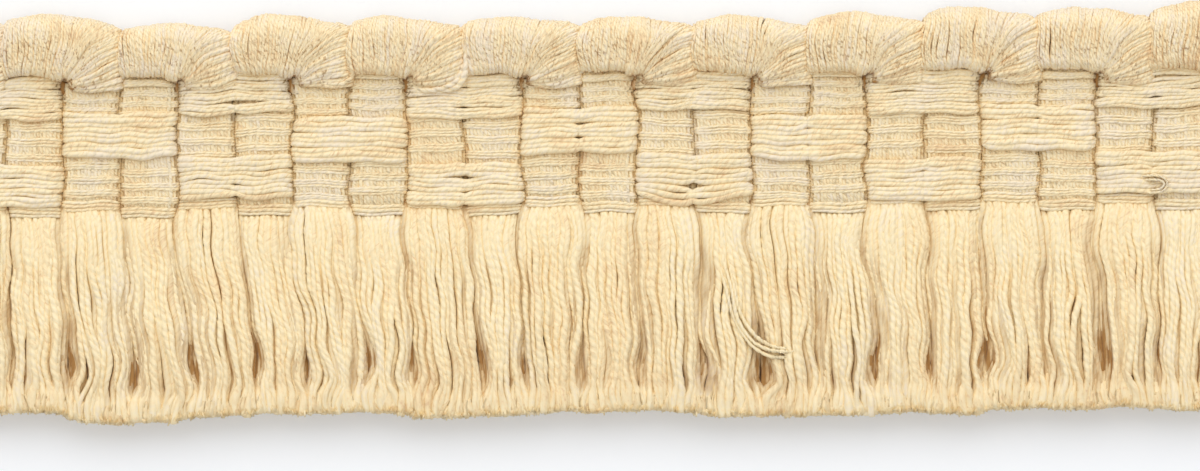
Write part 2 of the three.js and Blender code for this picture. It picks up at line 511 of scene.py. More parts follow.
@dataclass
class YarnPiece:
    """One object made of joined yarns.

    Attributes:
        name: The piece's name.
        plan: The trim's sizes.
        groups: Its yarns.
    """

    name: str
    plan: TrimPlan
    groups: list[Yarns] = field(default_factory=list)

    def add(self, yarns: Yarns) -> None:
        """Add yarns to the piece."""
        self.groups.append(yarns)

    def build(self) -> bpy.types.Object:
        """Join all yarns into one mesh object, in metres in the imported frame.

        Returns:
            The new object, linked to the scene.
        """
        self.groups += [stray_yarns(stray) for stray in STRAYS if stray.home == self.name]
        areas = [yarns.surface for yarns in self.groups]
        bands = np.concatenate([[0.0], np.cumsum(areas) / sum(areas)])
        points, sizes, tones, depths = [], [], [], []
        faces = {"corner": [], "yarn": [], "OFBake": []}
        first = 0
        for number, yarns in enumerate(self.groups):
            corners = yarns.corners()
            index = first + np.arange(corners.size // 3).reshape(corners.shape[:3])
            first += index.size
            maps = self._maps(yarns, *bands[number:number + 2], math.sqrt(sum(areas)))
            for name, ring, wrap in (("corner", index, 0), *maps):
                flat = (-1,) if name == "corner" else (-1, 2)
                walls, caps = self._walls(ring, wrap), self._caps(ring)
                faces[name] += [walls.reshape(flat), caps.reshape(flat)]
            sizes += [np.full(faces["corner"][-2].size // 4, 4)]
            sizes += [np.full(faces["corner"][-1].size // 3, 3)]
            points.append(corners.reshape(-1, 3))
            tones.append(np.repeat(yarns.tone, index[0].size))
            depths.append(np.repeat(yarns.depth.reshape(-1), index.shape[2]))
        joined = {name: np.concatenate(parts) for name, parts in faces.items()}
        values = {"tone": np.concatenate(tones), "depth": np.concatenate(depths)}
        loops = joined.pop("corner")
        return self._write(np.concatenate(points), loops, np.concatenate(sizes), joined, values)

    @staticmethod
    def _maps(
        yarns: Yarns, low: float, high: float, side: float
    ) -> tuple[tuple[str, np.ndarray, np.ndarray], ...]:
        """Work out both maps of a group at every corner.

        Args:
            yarns: The group.
            low: Bottom of its band in the bake map.
            high: Top of its band.
            side: Side of a square as large as the piece's whole surface.

        Returns:
            Each map's name, its two values at each corner, and what a full turn adds to them.
        """
        count, sides = len(yarns.tone), len(yarns.section.value)
        rows = max(1, round((high - low) * side / float(np.mean(yarns.lengths[:, -1]))))
        per_row = math.ceil(count / rows)
        number = np.arange(count)[:, None, None]
        width, height = 1.0 / per_row, (high - low) / rows
        left, bottom = (number % per_row) * width, low + (number // per_row) * height
        shape = (*yarns.radii.shape, sides)
        lengths = np.broadcast_to(yarns.lengths[..., None], shape)
        drawn = np.broadcast_to(np.array(yarns.section.value)[:, 0], shape)
        if not yarns.turned:
            drawn = drawn + yarns.turns[..., None]
        share = lengths / (lengths.max(axis=(1, 2), keepdims=True) + 1e-9)
        across = np.broadcast_to(np.arange(sides) / sides, shape)
        bake = np.stack([left + across * width * 0.96, bottom + share * height * 0.98], axis=-1)
        return (
            ("yarn", np.stack([drawn, lengths], axis=-1), np.array([1.0, 0.0])),
            ("OFBake", bake, np.array([0.96 * width, 0.0])),
        )

    @staticmethod
    def _walls(ring: np.ndarray, wrap: np.ndarray | int) -> np.ndarray:
        """Read values off at the corners of the four-sided faces along the yarns.

        Args:
            ring: Values shaped (yarns, stations, corners) and, for a map, 2.
            wrap: What a full turn round the yarn adds to them.

        Returns:
            The values, in the order of the faces and their corners.
        """
        closed = np.concatenate([ring, ring[:, :, :1] + wrap], axis=2)
        near, far = closed[:, :-1], closed[:, 1:]
        return np.stack([near[:, :, :-1], near[:, :, 1:], far[:, :, 1:], far[:, :, :-1]], axis=3)

    @staticmethod
    def _caps(ring: np.ndarray) -> np.ndarray:
        """Read values off at the corners of the triangles that fan over both ends.

        Args:
            ring: Values shaped (yarns, stations, corners) and, for a map, 2.

        Returns:
            The values, in the order of the faces and their corners.
        """
        fans = np.arange(1, ring.shape[2] - 1)
        start, end = ring[:, 0], ring[:, -1]
        hub_start = np.repeat(start[:, :1], fans.size, axis=1)
        hub_end = np.repeat(end[:, :1], fans.size, axis=1)
        return np.concatenate([
            np.stack([hub_start, start[:, fans + 1], start[:, fans]], axis=2),
            np.stack([hub_end, end[:, fans], end[:, fans + 1]], axis=2),
        ])

    def _write(
        self, points: np.ndarray, loops: np.ndarray, sizes: np.ndarray,
        maps: dict[str, np.ndarray], values: dict[str, np.ndarray],
    ) -> bpy.types.Object:
        """Write the arrays into a mesh.

        Args:
            points: All points, in millimetres in the heading's axes.
            loops: Corner numbers of all faces, one face after another.
            sizes: How many corners each face has.
            maps: Two values for each face corner, by map name.
            values: One value for each point, by attribute name.

        Returns:
            The new object.
        """
        placed = (uneven(points) + np.array([0.0, self.plan.fringe_edge, 0.0])) * METRES
        mesh = bpy.data.meshes.new(self.name)
        mesh.vertices.add(len(placed))
        mesh.vertices.foreach_set("co", placed.astype(np.float32).reshape(-1))
        mesh.loops.add(loops.size)
        mesh.loops.foreach_set("vertex_index", loops.astype(np.int32))
        mesh.polygons.add(sizes.size)
        starts = np.concatenate([[0], np.cumsum(sizes)[:-1]])
        mesh.polygons.foreach_set("loop_start", starts.astype(np.int32))
        mesh.polygons.foreach_set("use_smooth", np.ones(sizes.size, dtype=bool))
        for name, pairs in maps.items():
            layer = mesh.uv_layers.new(name=name)
            layer.data.foreach_set("uv", pairs.astype(np.float32).reshape(-1))
        for name, numbers in values.items():
            attribute = mesh.attributes.new(name=name, type="FLOAT", domain="POINT")
            attribute.data.foreach_set("value", numbers.astype(np.float32))
        mesh.update(calc_edges=True)
        mesh.validate()
        piece = bpy.data.objects.new(self.name, mesh)
        bpy.context.scene.collection.objects.link(piece)
        return piece


# ---- Finishes -----------------------------------------------------------------------------


class Nodes:
    """The nodes of one material."""

    def __init__(self, name: str) -> None:
        """Start a material that has no nodes.

        Args:
            name: The material's name.
        """
        self.material = bpy.data.materials.new(name)
        self.material.use_nodes = True
        self.tree = self.material.node_tree
        self.tree.nodes.clear()

    def feed(self, socket: bpy.types.NodeSocket, value: object) -> None:
        """Link an input to another node's output, or set it to a fixed value.

        Args:
            socket: The input.
            value: An output, or the fixed value.
        """
        if isinstance(value, bpy.types.NodeSocket):
            self.tree.links.new(value, socket)
        else:
            socket.default_value = value

    def add(self, kind: str, inputs: dict[str | int, object], **settings: object) -> bpy.types.Node:
        """Add one node.

        Args:
            kind: The node's type, without the words that all types share.
            inputs: What feeds each input, by the input's name or number.
            settings: The node's own settings.

        Returns:
            The new node.
        """
        node = self.tree.nodes.new(f"ShaderNode{kind}")
        for name, value in settings.items():
            setattr(node, name, value)
        for name, value in inputs.items():
            self.feed(node.inputs[name], value)
        return node

    def math(self, operation: str, *values: object) -> bpy.types.NodeSocket:
        """Work out one step of arithmetic."""
        return self.add("Math", dict(enumerate(values)), operation=operation).outputs["Value"]

    def swing(self, value: bpy.types.NodeSocket, weight: float) -> bpy.types.NodeSocket:
        """Turn a value from 0 to 1 into a swing either way."""
        return self.math("MULTIPLY", self.math("SUBTRACT", value, 0.5), weight)

    def attribute(self, name: str) -> bpy.types.NodeSocket:
        """Read one of the mesh's own values."""
        return self.add("Attribute", {}, attribute_name=name).outputs["Fac"]

    def place(self) -> bpy.types.NodeSocket:
        """Read where on the object a point lies."""
        return self.add("TexCoord", {}).outputs["Object"]

    def noise(self, place: bpy.types.NodeSocket, scale: float, detail: float) -> bpy.types.NodeSocket:
        """Read noise at a place."""
        inputs = {"Vector": place, "Scale": scale, "Detail": detail}
        return self.add("TexNoise", inputs).outputs["Fac"]

    def mix(
        self, factor: bpy.types.NodeSocket, first: bpy.types.NodeSocket,
        second: tuple[float, float, float], blend: str = "MIX",
    ) -> bpy.types.NodeSocket:
        """Mix a fixed colour into another.

        Args:
            factor: 0 for the first colour and 1 for the second.
            first: The first colour.
            second: The fixed colour.
            blend: How they mix.

        Returns:
            The mixed colour.
        """
        node = self.add(
            "Mix", {"Factor": factor}, data_type="RGBA", blend_type=blend, clamp_factor=True)
        colours = [socket for socket in node.inputs if socket.type == "RGBA"]
        for socket, value in zip(colours, (first, (*second, 1.0)), strict=True):
            self.feed(socket, value)
        return next(socket for socket in node.outputs if socket.type == "RGBA")


@dataclass(frozen=True)
class CottonFinish:
    """Soft, slightly uneven undyed cotton.

    Attributes:
        name: The material's name.
        deep: Colour of painted shade, mixed in where yarn lies deep in the trim.
        crevice: Tint of painted shade, multiplied into crevices.
        ply_relief: How strongly the finish draws the two plies, where the mesh doesn't.
        fibre_relief: How strongly it draws loose fibres.
        groove: How much painted shade darkens the grooves between plies.
        patches: How much the tone varies from place to place.
        flecks: How much small flecks of raw fibre darken.
        dashes: How much the painted shade breaks into short dark dashes.
        raw: How raw the cotton is on the whole, from 0, bleached, to 1.
        tones: Colours of the cotton, from bleached to raw.
    """

    name: str
    deep: tuple[float, float, float]
    crevice: tuple[float, float, float]
    ply_relief: float
    fibre_relief: float
    groove: float
    patches: float
    flecks: float
    dashes: float
    raw: float
    tones: tuple[tuple[float, float, float], ...] = (
        (0.90, 0.78, 0.595), (0.95, 0.81, 0.53), (0.93, 0.745, 0.455), (0.80, 0.575, 0.335),
    )

    def make(self) -> bpy.types.Material:
        """Build the material's nodes.

        Returns:
            The finished material.
        """
        nodes = Nodes(self.name)
        yarn = nodes.add("UVMap", {}, uv_map="yarn").outputs["UV"]
        parts = nodes.add("SeparateXYZ", {"Vector": yarn}).outputs
        ridge = self._ridge(nodes, parts["X"])
        fibres = self._grain(nodes, parts, around=9.0, along=1.6)
        dashes = self._grain(nodes, parts, around=3.2, along=1.9)
        shader = nodes.add("BsdfPrincipled", {
            "Base Color": self._colour(nodes, ridge, fibres, dashes),
            "Normal": self._relief(nodes, ridge, fibres),
            "Roughness": 0.92,
            "Specular IOR Level": 0.25,
            "Sheen Weight": 0.15,
            "Sheen Roughness": 0.6,
        })
        nodes.add("OutputMaterial", {"Surface": shader.outputs["BSDF"]})
        return nodes.material

    @staticmethod
    def _ridge(nodes: Nodes, turns: bpy.types.NodeSocket) -> bpy.types.NodeSocket:
        """Draw two plies round the yarn.

        Args:
            nodes: The material's nodes.
            turns: How far round the yarn a point lies, in turns.

        Returns:
            1 on a ply's crown and 0 in a groove.
        """
        wave = nodes.math("COSINE", nodes.math("MULTIPLY", turns, 2.0 * TURN))
        half = nodes.math("MULTIPLY", nodes.math("ADD", wave, 1.0), 0.5)
        return nodes.math("POWER", half, 0.5)

    @staticmethod
    def _grain(
        nodes: Nodes, parts: bpy.types.NodeOutputs, around: float, along: float
    ) -> bpy.types.NodeSocket:
        """Draw fibres along the plies, other ones on every yarn.

        Args:
            nodes: The material's nodes.
            parts: Turns round the yarn and length along it.
            around: How many lie in a turn.
            along: How many lie in a millimetre.

        Returns:
            Noise from 0 to 1.
        """
        place = nodes.add("CombineXYZ", {
            "X": nodes.math("MULTIPLY", parts["X"], around),
            "Y": nodes.math("MULTIPLY", parts["Y"], along),
            "Z": nodes.math("MULTIPLY", nodes.attribute("tone"), 71.0),
        })
        return nodes.noise(place.outputs["Vector"], scale=1.0, detail=3.0)

    @staticmethod
    def _specks(
        nodes: Nodes, grain: bpy.types.NodeSocket, sharpness: float, strength: float
    ) -> bpy.types.NodeSocket:
        """Keep only the peaks of a grain.

        Args:
            nodes: The material's nodes.
            grain: The grain.
            sharpness: How sharply the specks end.
            strength: How much they count.

        Returns:
            The strength on a speck and 0 between them.
        """
        peak = nodes.math("MULTIPLY", nodes.math("SUBTRACT", grain, 0.56), sharpness)
        peak = nodes.math("MAXIMUM", nodes.math("MINIMUM", peak, 1.0), 0.0)
        return nodes.math("MULTIPLY", peak, strength)

    def _colour(
        self, nodes: Nodes, ridge: bpy.types.NodeSocket, fibres: bpy.types.NodeSocket,
        dashes: bpy.types.NodeSocket,
    ) -> bpy.types.NodeSocket:
        """Mix the cotton's tones and paint shade into grooves, deep places and crevices.

        Args:
            nodes: The material's nodes.
            ridge: 1 on a ply's crown and 0 in a groove.
            fibres: Fine noise along the plies.
            dashes: Coarser noise along the plies.

        Returns:
            The colour.
        """
        # Painted shade: the grooves between plies darken.
        total = nodes.math("MULTIPLY", nodes.math("SUBTRACT", 1.0, ridge), self.groove)
        patches = nodes.noise(nodes.place(), scale=190.0, detail=2.0)
        for value, weight in (
            (nodes.attribute("tone"), 0.42), (patches, self.patches), (fibres, 1.1),
        ):
            total = nodes.math("ADD", total, nodes.swing(value, weight))
        total = nodes.math("ADD", total, self._specks(nodes, fibres, 7.0, self.flecks))
        ramp = nodes.add("ValToRGB", {"Fac": nodes.math("ADD", total, self.raw)})
        stops = ramp.color_ramp.elements
        while len(stops) < len(self.tones):
            stops.new(1.0)
        for number, colour in enumerate(self.tones):
            stops[number].position = number / (len(self.tones) - 1)
            stops[number].color = (*colour, 1.0)
        # Painted shade: the depth attribute mixes in the deep colour, streaked and broken into dashes.
        dash = self._specks(nodes, dashes, 10.0, self.dashes)
        sunk = nodes.math("ADD", self._shade_streaks(nodes), dash)
        sunk = nodes.math("MULTIPLY", nodes.attribute("depth"), sunk)
        open_colour = nodes.mix(sunk, ramp.outputs["Color"], self.deep)
        # Painted shade: crevices found by ambient occlusion take the crevice tint.
        return nodes.mix(self._crevice_shade(nodes), open_colour, self.crevice, "MULTIPLY")

    @staticmethod
    def _shade_streaks(nodes: Nodes) -> bpy.types.NodeSocket:
        """Streak the painted shade of deep places along the brush, as if single strands lay in them.

        Args:
            nodes: The material's nodes.

        Returns:
            A factor around 1.
        """
        squeeze = nodes.add("Mapping", {"Vector": nodes.place(), "Scale": (1900.0, 330.0, 800.0)})
        streaks = nodes.noise(squeeze.outputs["Vector"], scale=1.0, detail=3.0)
        return nodes.math("ADD", 1.0, nodes.swing(streaks, 3.4))

    @staticmethod
    def _crevice_shade(nodes: Nodes) -> bpy.types.NodeSocket:
        """Find the crevices between yarns by ambient occlusion, for the painted shade there.

        Args:
            nodes: The material's nodes.

        Returns:
            0 on an open face and 1 in a deep crevice.
        """
        shelter = nodes.add("AmbientOcclusion", {"Distance": 0.0009}, samples=6)
        closed = nodes.math("SUBTRACT", 1.0, shelter.outputs["AO"])
        return nodes.math("MINIMUM", nodes.math("MULTIPLY", closed, 1.3), 1.0)

    def _relief(
        self, nodes: Nodes, ridge: bpy.types.NodeSocket, fibres: bpy.types.NodeSocket
    ) -> bpy.types.NodeSocket:
        """Raise the plies and fibres.

        Args:
            nodes: The material's nodes.
            ridge: 1 on a ply's crown and 0 in a groove.
            fibres: Fine noise along the plies.

        Returns:
            The normal.
        """
        plies = nodes.math("MULTIPLY", ridge, self.ply_relief)
        hairs = nodes.math("MULTIPLY", fibres, self.fibre_relief)
        height = nodes.math("ADD", plies, hairs)
        bump = nodes.add("Bump", {"Strength": 1.0, "Distance": 0.0001, "Height": height})
        return bump.outputs["Normal"]


# deep and crevice are painted shade colours; groove and dashes paint shade as well.
STRAND_COTTON = CottonFinish(
    "strand_cotton", deep=(0.385, 0.2, 0.062), crevice=(0.955, 0.9, 0.75), ply_relief=0.45,
    fibre_relief=0.5, groove=0.12, patches=0.9, flecks=0.15, dashes=0.0, raw=0.39,
)
WARP_COTTON = CottonFinish(
    "warp_cotton", deep=(0.33, 0.22, 0.095), crevice=(0.95, 0.88, 0.74), ply_relief=0.75,
    fibre_relief=0.9, groove=0.2, patches=1.7, flecks=0.4, dashes=6.0, raw=0.26,
)
LOOP_COTTON = CottonFinish(
    "loop_cotton", deep=(0.385, 0.2, 0.062), crevice=(1.0, 0.89, 0.74), ply_relief=1.0,
    fibre_relief=0.9, groove=0.22, patches=2.1, flecks=0.35, dashes=13.0, raw=0.26,
)
FLOOR_WHITE = (0.84, 0.858, 0.885)


def dress(piece: bpy.types.Object, material: bpy.types.Material, slot: str, *nodes: str) -> None:
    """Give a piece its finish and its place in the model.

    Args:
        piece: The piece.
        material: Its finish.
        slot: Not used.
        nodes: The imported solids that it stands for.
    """
    piece.data.materials.append(material)
    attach(piece, "root")
    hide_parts(*nodes)
    piece.data.calc_loop_triangles()
    LOG.info("%s: %d triangles", piece.name, len(piece.data.loop_triangles))


# ---- Brush --------------------------------------------------------------------------------


@dataclass(frozen=True)
class StrandRow:
    """One row of strands across a bunch.

    Attributes:
        strands: How many strands lie side by side.
        stations: How many stations each has.
        level: How high the row lies, as a share of the bunch's thickness.
        depth: How much painted shade it takes where it lies below the face, 0 at the face.
        loose: How much its strands swing and gather.
        covers: How far it closes the partings from each side, in millimetres.
        mingles: How far its strands rise between those above, in millimetres.
        fibres: Loose fibres at each of its cut ends.
    """

    strands: int
    stations: int
    level: float
    depth: float
    loose: float
    covers: float
    mingles: float
    fibres: int


@dataclass(frozen=True)
class Wisp:
    """A few neighbouring strands of a bunch that hang together.

    Attributes:
        start: Where it starts across the bunch, from 0 to 1.
        end: Where it ends.
        pull: How tightly its strands draw together.
        sway: How far it swings aside, in millimetres.
        rate: Swings down its length.
        phase: Where in a swing it starts, in turns.
        lift: How far it lies above the rest, in millimetres.
        roll: How far it twists round itself, in turns.
        tone: How dark or pale it is, from 0 to 1.
    """

    start: Measure
    end: Measure
    pull: Measure
    sway: Measure
    rate: Measure
    phase: Measure
    lift: Measure
    roll: Measure
    tone: Measure

    @classmethod
    def fall_apart(cls, rng: np.random.Generator) -> list[Wisp]:
        """Split a bunch into wisps.

        Args:
            rng: Source of randomness.

        Returns:
            The wisps from left to right.
        """
        widths = rng.uniform(0.5, 1.6, rng.integers(3, 6))
        edges = np.concatenate([[0.0], np.cumsum(widths) / widths.sum()])
        return [
            cls(
                start=start, end=end, pull=0.5 * rng.uniform(0.0, 1.0) ** 1.3,
                sway=rng.normal(0.0, 0.3), rate=rng.uniform(0.7, 1.5), phase=rng.uniform(0.0, 1.0),
                lift=rng.normal(0.0, 0.18), roll=rng.normal(0.0, 0.11), tone=rng.uniform(0.0, 1.0),
            )
            for start, end in zip(edges[:-1], edges[1:], strict=True)
        ]

    @classmethod
    def of_strands(cls, wisps: list[Wisp], shares: np.ndarray) -> Wisp:
        """Find the wisp of each strand.

        Args:
            wisps: The bunch's wisps from left to right.
            shares: The strands' places across the bunch.

        Returns:
            One wisp whose measures are columns, with a row for each strand.
        """
        mine = [next(w for w in wisps if s <= w.end or w is wisps[-1]) for s in shares]
        return cls(*(np.array([[getattr(w, f.name)] for w in mine]) for f in fields(cls)))


@dataclass
class BrushFringe:
    """The cut brush: bunches of two-ply strands that hang from the heading.

    Attributes:
        plan: The trim's sizes.
        strand_radius: Half a strand's thickness.
        twist: Turns of the plies for each millimetre.
        mouths: y at which even and odd bunches come out from under the heading's edge.
        spread: How far odd bunches spread over their neighbours just below the heading.
        flare: How much thicker a strand grows where it is brushed out.
        fullness: Thickness of a bunch down its drop, as a share of the brush's.
        shoulder: How far a bunch's sides fall off down its drop, as a share of its thickness.
        rows: The rows of strands in a bunch, from the face to the back.
        mat: Fibres matted over the cut ends of a bunch.
        packed: Inner strands that end side by side in each layer below the face.
        layers: Heights of those layers.
        side_layers: Heights of the strands that close the first and last bunch's outer side.
    """

    plan: TrimPlan
    strand_radius: float = 0.43
    twist: float = -0.43
    mouths: tuple[float, float] = (-0.2, 0.7)
    spread: float = 0.5
    flare: float = 1.35
    fullness: Profile = Profile(
        (0.0, 0.16, 0.38, 0.60, 0.92, 1.0), (0.75, 0.84, 0.92, 1.0, 1.0, 0.9))
    shoulder: Profile = Profile((0.0, 0.06, 0.3, 0.75, 0.94), (0.2, 0.24, 0.24, 0.36, 0.0))
    rows: tuple[StrandRow, ...] = (
        StrandRow(11, 58, 0.92, 0.0, 1.0, 0.0, 0.0, 4),
        StrandRow(13, 28, 0.85, 0.35, 0.3, 0.22, 0.3, 3),
        StrandRow(12, 16, 0.76, 0.8, 0.1, 2.0, 0.0, 3),
        StrandRow(10, 12, 0.09, 0.15, 0.3, 2.0, 0.0, 2),
    )
    mat: int = 100
    packed: int = 8
    layers: tuple[float, ...] = (1.15, 1.95, 2.75)
    side_layers: tuple[float, ...] = (1.0, 1.55, 2.1, 2.65, 3.2)

    def build(self) -> list[bpy.types.Object]:
        """Build every bunch, one piece for each."""
        rng = np.random.default_rng(SEED)
        return [self._bunch(number, rng) for number in range(self.plan.columns)]

    def dress(self, pieces: list[bpy.types.Object], material: bpy.types.Material) -> None:
        """Finish the bunches and let them stand for the comb."""
        for piece in pieces:
            dress(piece, material, "brush_yarn", "fringe_comb")

    def parting(self, number: int, down: np.ndarray) -> tuple[np.ndarray, np.ndarray]:
        """Follow the parting on the right of a bunch.

        Args:
            number: The bunch; -1 is the trim's left end.
            down: Shares of the drop.

        Returns:
            The parting's x and half its width at each share.
        """
        seam = self.plan.seam(number + 1)
        if number < 0 or number == self.plan.columns - 1:
            return np.full(down.shape, seam), np.zeros(down.shape)
        bunch = BUNCHES[number]
        wandered = 1.15 * ease(down, 0.02, 0.84) - 0.15 * ease(down, 0.84, 0.97)
        over = self.spread * hump(down, -0.02, 0.1, 0.2, 0.5)
        centre = seam + bunch.wander * wandered + (over if number % 2 == 1 else -over)
        widest = 0.79 + 0.03 * math.sin(2.4 * number)
        opened = hump(down, widest - 0.2, widest, widest, widest + 0.1)
        opened = opened + 0.1 * hump(down, 0.3, 0.6, 0.84, 0.9)
        return centre, 0.6 * bunch.parting * opened

    def between(self, number: int, down: np.ndarray, share: np.ndarray) -> np.ndarray:
        """Place strands between the partings of a bunch.

        Args:
            number: The bunch.
            down: Shares of the drop.
            share: Places across the bunch, from 0 to 1.

        Returns:
            x of each strand.
        """
        left, _ = self.parting(number - 1, down)
        right, _ = self.parting(number, down)
        return left + (right - left) * share

    def drop(self, number: int, share: np.ndarray) -> np.ndarray:
        """Find how long the brush hangs across a bunch, easing from one bunch to the next.

        Args:
            number: The bunch.
            share: Places across it, from 0 to 1.

        Returns:
            The drop at each place.
        """
        own = BUNCHES[number].drop
        before = BUNCHES[max(number - 1, 0)].drop
        after = BUNCHES[min(number + 1, self.plan.columns - 1)].drop
        edges = (0.62 * own + 0.38 * before, own, own, 0.62 * own + 0.38 * after)
        return np.interp(share, (0.0, 0.35, 0.65, 1.0), edges) - 0.4

    def thickness(self, down: np.ndarray) -> np.ndarray:
        """Thickness of the brush at shares of its drop."""
        return self.plan.brush_height * self.fullness.at(down)

    def _bunch(self, number: int, rng: np.random.Generator) -> bpy.types.Object:
        """Build one bunch.

        Args:
            number: Which bunch.
            rng: Source of randomness.

        Returns:
            The bunch's piece.
        """
        piece = YarnPiece(f"brush_bunch_{number + 1:02d}", self.plan)
        rng_ends = np.random.default_rng(SEED + 10 + number)
        wisps = Wisp.fall_apart(rng)
        for row in self.rows:
            strands = self._row(number, row, wisps, rng)
            piece.add(strands)
            piece.add(self._cut_fibres(strands, row, rng))
        piece.add(self._matted_ends(number, rng))
        piece.add(self._packed_ends(number, rng_ends))
        if self.plan.is_end(number):
            piece.add(self._side_strands(number, rng_ends))
        piece.add(self._core(number))
        return piece.build()

    def _core(self, number: int) -> Yarns:
        """Fill the middle of a bunch with the strands that never show, coloured in painted shade.

        Args:
            number: Which bunch.

        Returns:
            One flat cushion.
        """
        down = np.append(np.linspace(0.0, 0.88, 11), [0.93, 0.96])
        left, _ = self.parting(number - 1, down)
        right, _ = self.parting(number, down)
        middle, half = (left + right) / 2.0, (right - left) / 2.0
        raised = ease(down, 0.88, 0.93)
        thick = self.thickness(down)
        y = self.mouths[0] - (self.mouths[0] + BUNCHES[number].drop) * down
        radii = half + (0.0 if self.plan.is_end(number) else 0.5)
        return Yarns(
            np.stack([middle, y, (0.33 + 0.05 * raised) * thick], axis=1)[None], radii, tone=0.9,
            # Painted shade: dark where the partings open onto it, lighter where it rises under the cut
            # ends.
            depth=0.9 - 0.6 * raised, section=Section.CUSHION,
            tall=(0.2 + 0.12 * raised) * thick / radii,
        )

    def _packed_ends(self, number: int, rng: np.random.Generator) -> Yarns:
        """Fill the middle of a bunch's cut end with the ends of its inner strands.

        Args:
            number: Which bunch.
            rng: Source of randomness.

        Returns:
            Short stubs in layers one above the other.
        """
        layers = len(self.layers)
        count = self.packed * layers
        place = np.tile((np.arange(self.packed) + 0.5) / self.packed, layers)[:, None]
        share = np.clip(place + rng.normal(0.0, 0.35 / self.packed, (count, 1)), 0.03, 0.97)
        shares = np.array([0.0, 0.7, 1.0])
        drop = self.drop(number, share)
        ragged = rng.normal(0.0, 0.15, (count, 2, 1))
        y = 0.55 - drop + (2.0 + ragged[:, 0]) * (1.0 - shares) + ragged[:, 1]
        x = self.between(number, np.clip(-y / drop, 0.0, 1.0), share)
        z = np.repeat(self.layers, self.packed)[:, None] + rng.normal(0.0, 0.12, (count, 1))
        radii = self.strand_radius * np.array([1.0, 1.2, 0.9]) * rng.uniform(0.85, 1.15, (count, 1))
        return Yarns(
            np.stack([x, y, z + 0.0 * y], axis=2), radii, tone=rng.uniform(0.2, 0.9, count),
            # A little painted shade.
            depth=0.1,
        )

    def _side_strands(self, number: int, rng: np.random.Generator) -> Yarns:
        """Close the outer side of the first or last bunch with strands one above the other.

        Args:
            number: Which of the two.
            rng: Source of randomness.

        Returns:
            The side's strands.
        """
        first = number == 0
        heights = np.array(self.side_layers)[:, None]
        count = heights.size
        along = np.linspace(0.0, 1.0, 14)
        inwards = 0.5 + 0.08 * wander(rng, count, along, 2.5)
        x = self.plan.left + inwards if first else self.plan.right - inwards
        drop = self.drop(number, np.array([0.0 if first else 1.0]))
        y = 0.7 - (0.7 + drop + rng.normal(0.0, 0.12, (count, 1))) * along
        z = heights + 0.12 * wander(rng, count, along, 2.0)
        turns = 0.43 * drop * along + rng.uniform(0.0, 1.0, (count, 1))
        return Yarns(
            np.stack([x, y, z], axis=2), self.strand_radius, tone=rng.uniform(0.1, 0.9, count),
            # A little painted shade.
            depth=0.06, turns=turns,
        )

    def _row(
        self, number: int, row: StrandRow, wisps: list[Wisp], rng: np.random.Generator
    ) -> Yarns:
        """Hang one row of strands.

        Args:
            number: Which bunch.
            row: The row's layout.
            wisps: How the bunch falls apart.
            rng: Source of randomness.

        Returns:
            The row's strands.
        """
        count = row.strands
        along = np.linspace(0.0, 1.0, row.stations)
        share = ((np.arange(count) + 0.5 + rng.uniform(-0.38, 0.38, count)) / count)[:, None]
        wisp = Wisp.of_strands(wisps, share[:, 0])
        ragged = rng.normal(0.0, 0.13, (count, 1)) + 0.4 * wisp.lift
        drops = self.drop(number, share) + ragged - (0.3 if row.covers else 0.0)
        mouth = self.mouths[number % 2]
        root = mouth + 1.0
        y = root - (root + drops) * along
        down = np.clip(-y / drops, -0.1, 1.0)
        left, left_half = self.parting(number - 1, down)
        right, right_half = self.parting(number, down)
        overlap = 0.0 if self.plan.is_end(number) else -0.35
        low = left + np.maximum(left_half - row.covers, overlap)
        high = right - np.maximum(right_half - row.covers, overlap)
        middle, half = (wisp.start + wisp.end) / 2.0, (wisp.end - wisp.start) / 2.0
        aside = (share - middle) / half
        turned = TURN * wisp.roll * row.loose * hump(down, 0.1, 0.8, 0.84, 0.95)
        gathered = 1.0 - wisp.pull * row.loose * hump(down, 0.5, 0.78, 0.82, 0.92)
        across = middle + half * aside * gathered * np.cos(turned)
        x = low + (high - low) * np.clip(across, 0.2 / count, 1.0 - 0.2 / count)
        swing = wisp.sway * np.sin(TURN * (wisp.rate * down + wisp.phase)) * ease(down, 0.1, 0.6)
        swing = swing * (1.0 - 0.6 * ease(down, 0.86, 0.96))
        swing = swing + 0.16 * wander(rng, count, along, 2.6) * ease(down, 0.02, 0.3)
        risen = wisp.lift * ease(down, 0.05, 0.5) * (1.0 - 0.7 * ease(down, 0.85, 0.95))
        risen = risen + 0.5 * half * (high - low) * aside * np.sin(turned)
        below = mouth - y
        out = ease(below, -0.45, 0.3)
        z = self._heights(row, share, down, out, rng, along) + risen * row.loose
        z = z + 0.3 * (number % 2) * out * (1.0 - ease(down, 0.15, 0.5)) * row.level
        radii = self.strand_radius * (1.05 if row.covers else 1.0)
        radii = radii * (1.0 + (self.flare - 1.0) * ease(down, 0.86, 0.95))
        radii = radii * rng.uniform(0.82, 1.18, (count, 1))
        radii[:, -1] *= 0.8
        z = np.clip(z, np.maximum(self.strand_radius, radii), self.plan.brush_height + 0.2)
        twisting = np.clip(1.0 - ease(down, 0.84, 0.94), 0.1, 1.0)
        steps = (root + drops) / (row.stations - 1)
        turns = np.cumsum(twisting * self.twist * steps, axis=1) + rng.uniform(0, 1, (count, 1))
        tones = 0.6 * wisp.tone[:, 0] + 0.4 * rng.uniform(0.0, 1.0, count)
        on_face = row is self.rows[0]
        return Yarns(
            np.stack([x + swing * row.loose, y, z], axis=2), radii,
            tone=np.clip(tones, 0.0, 1.0), depth=self._shade_depths(row, share, down, below, z),
            turns=turns, section=Section.TWO_PLY if on_face else Section.ROUND, turned=on_face,
        )

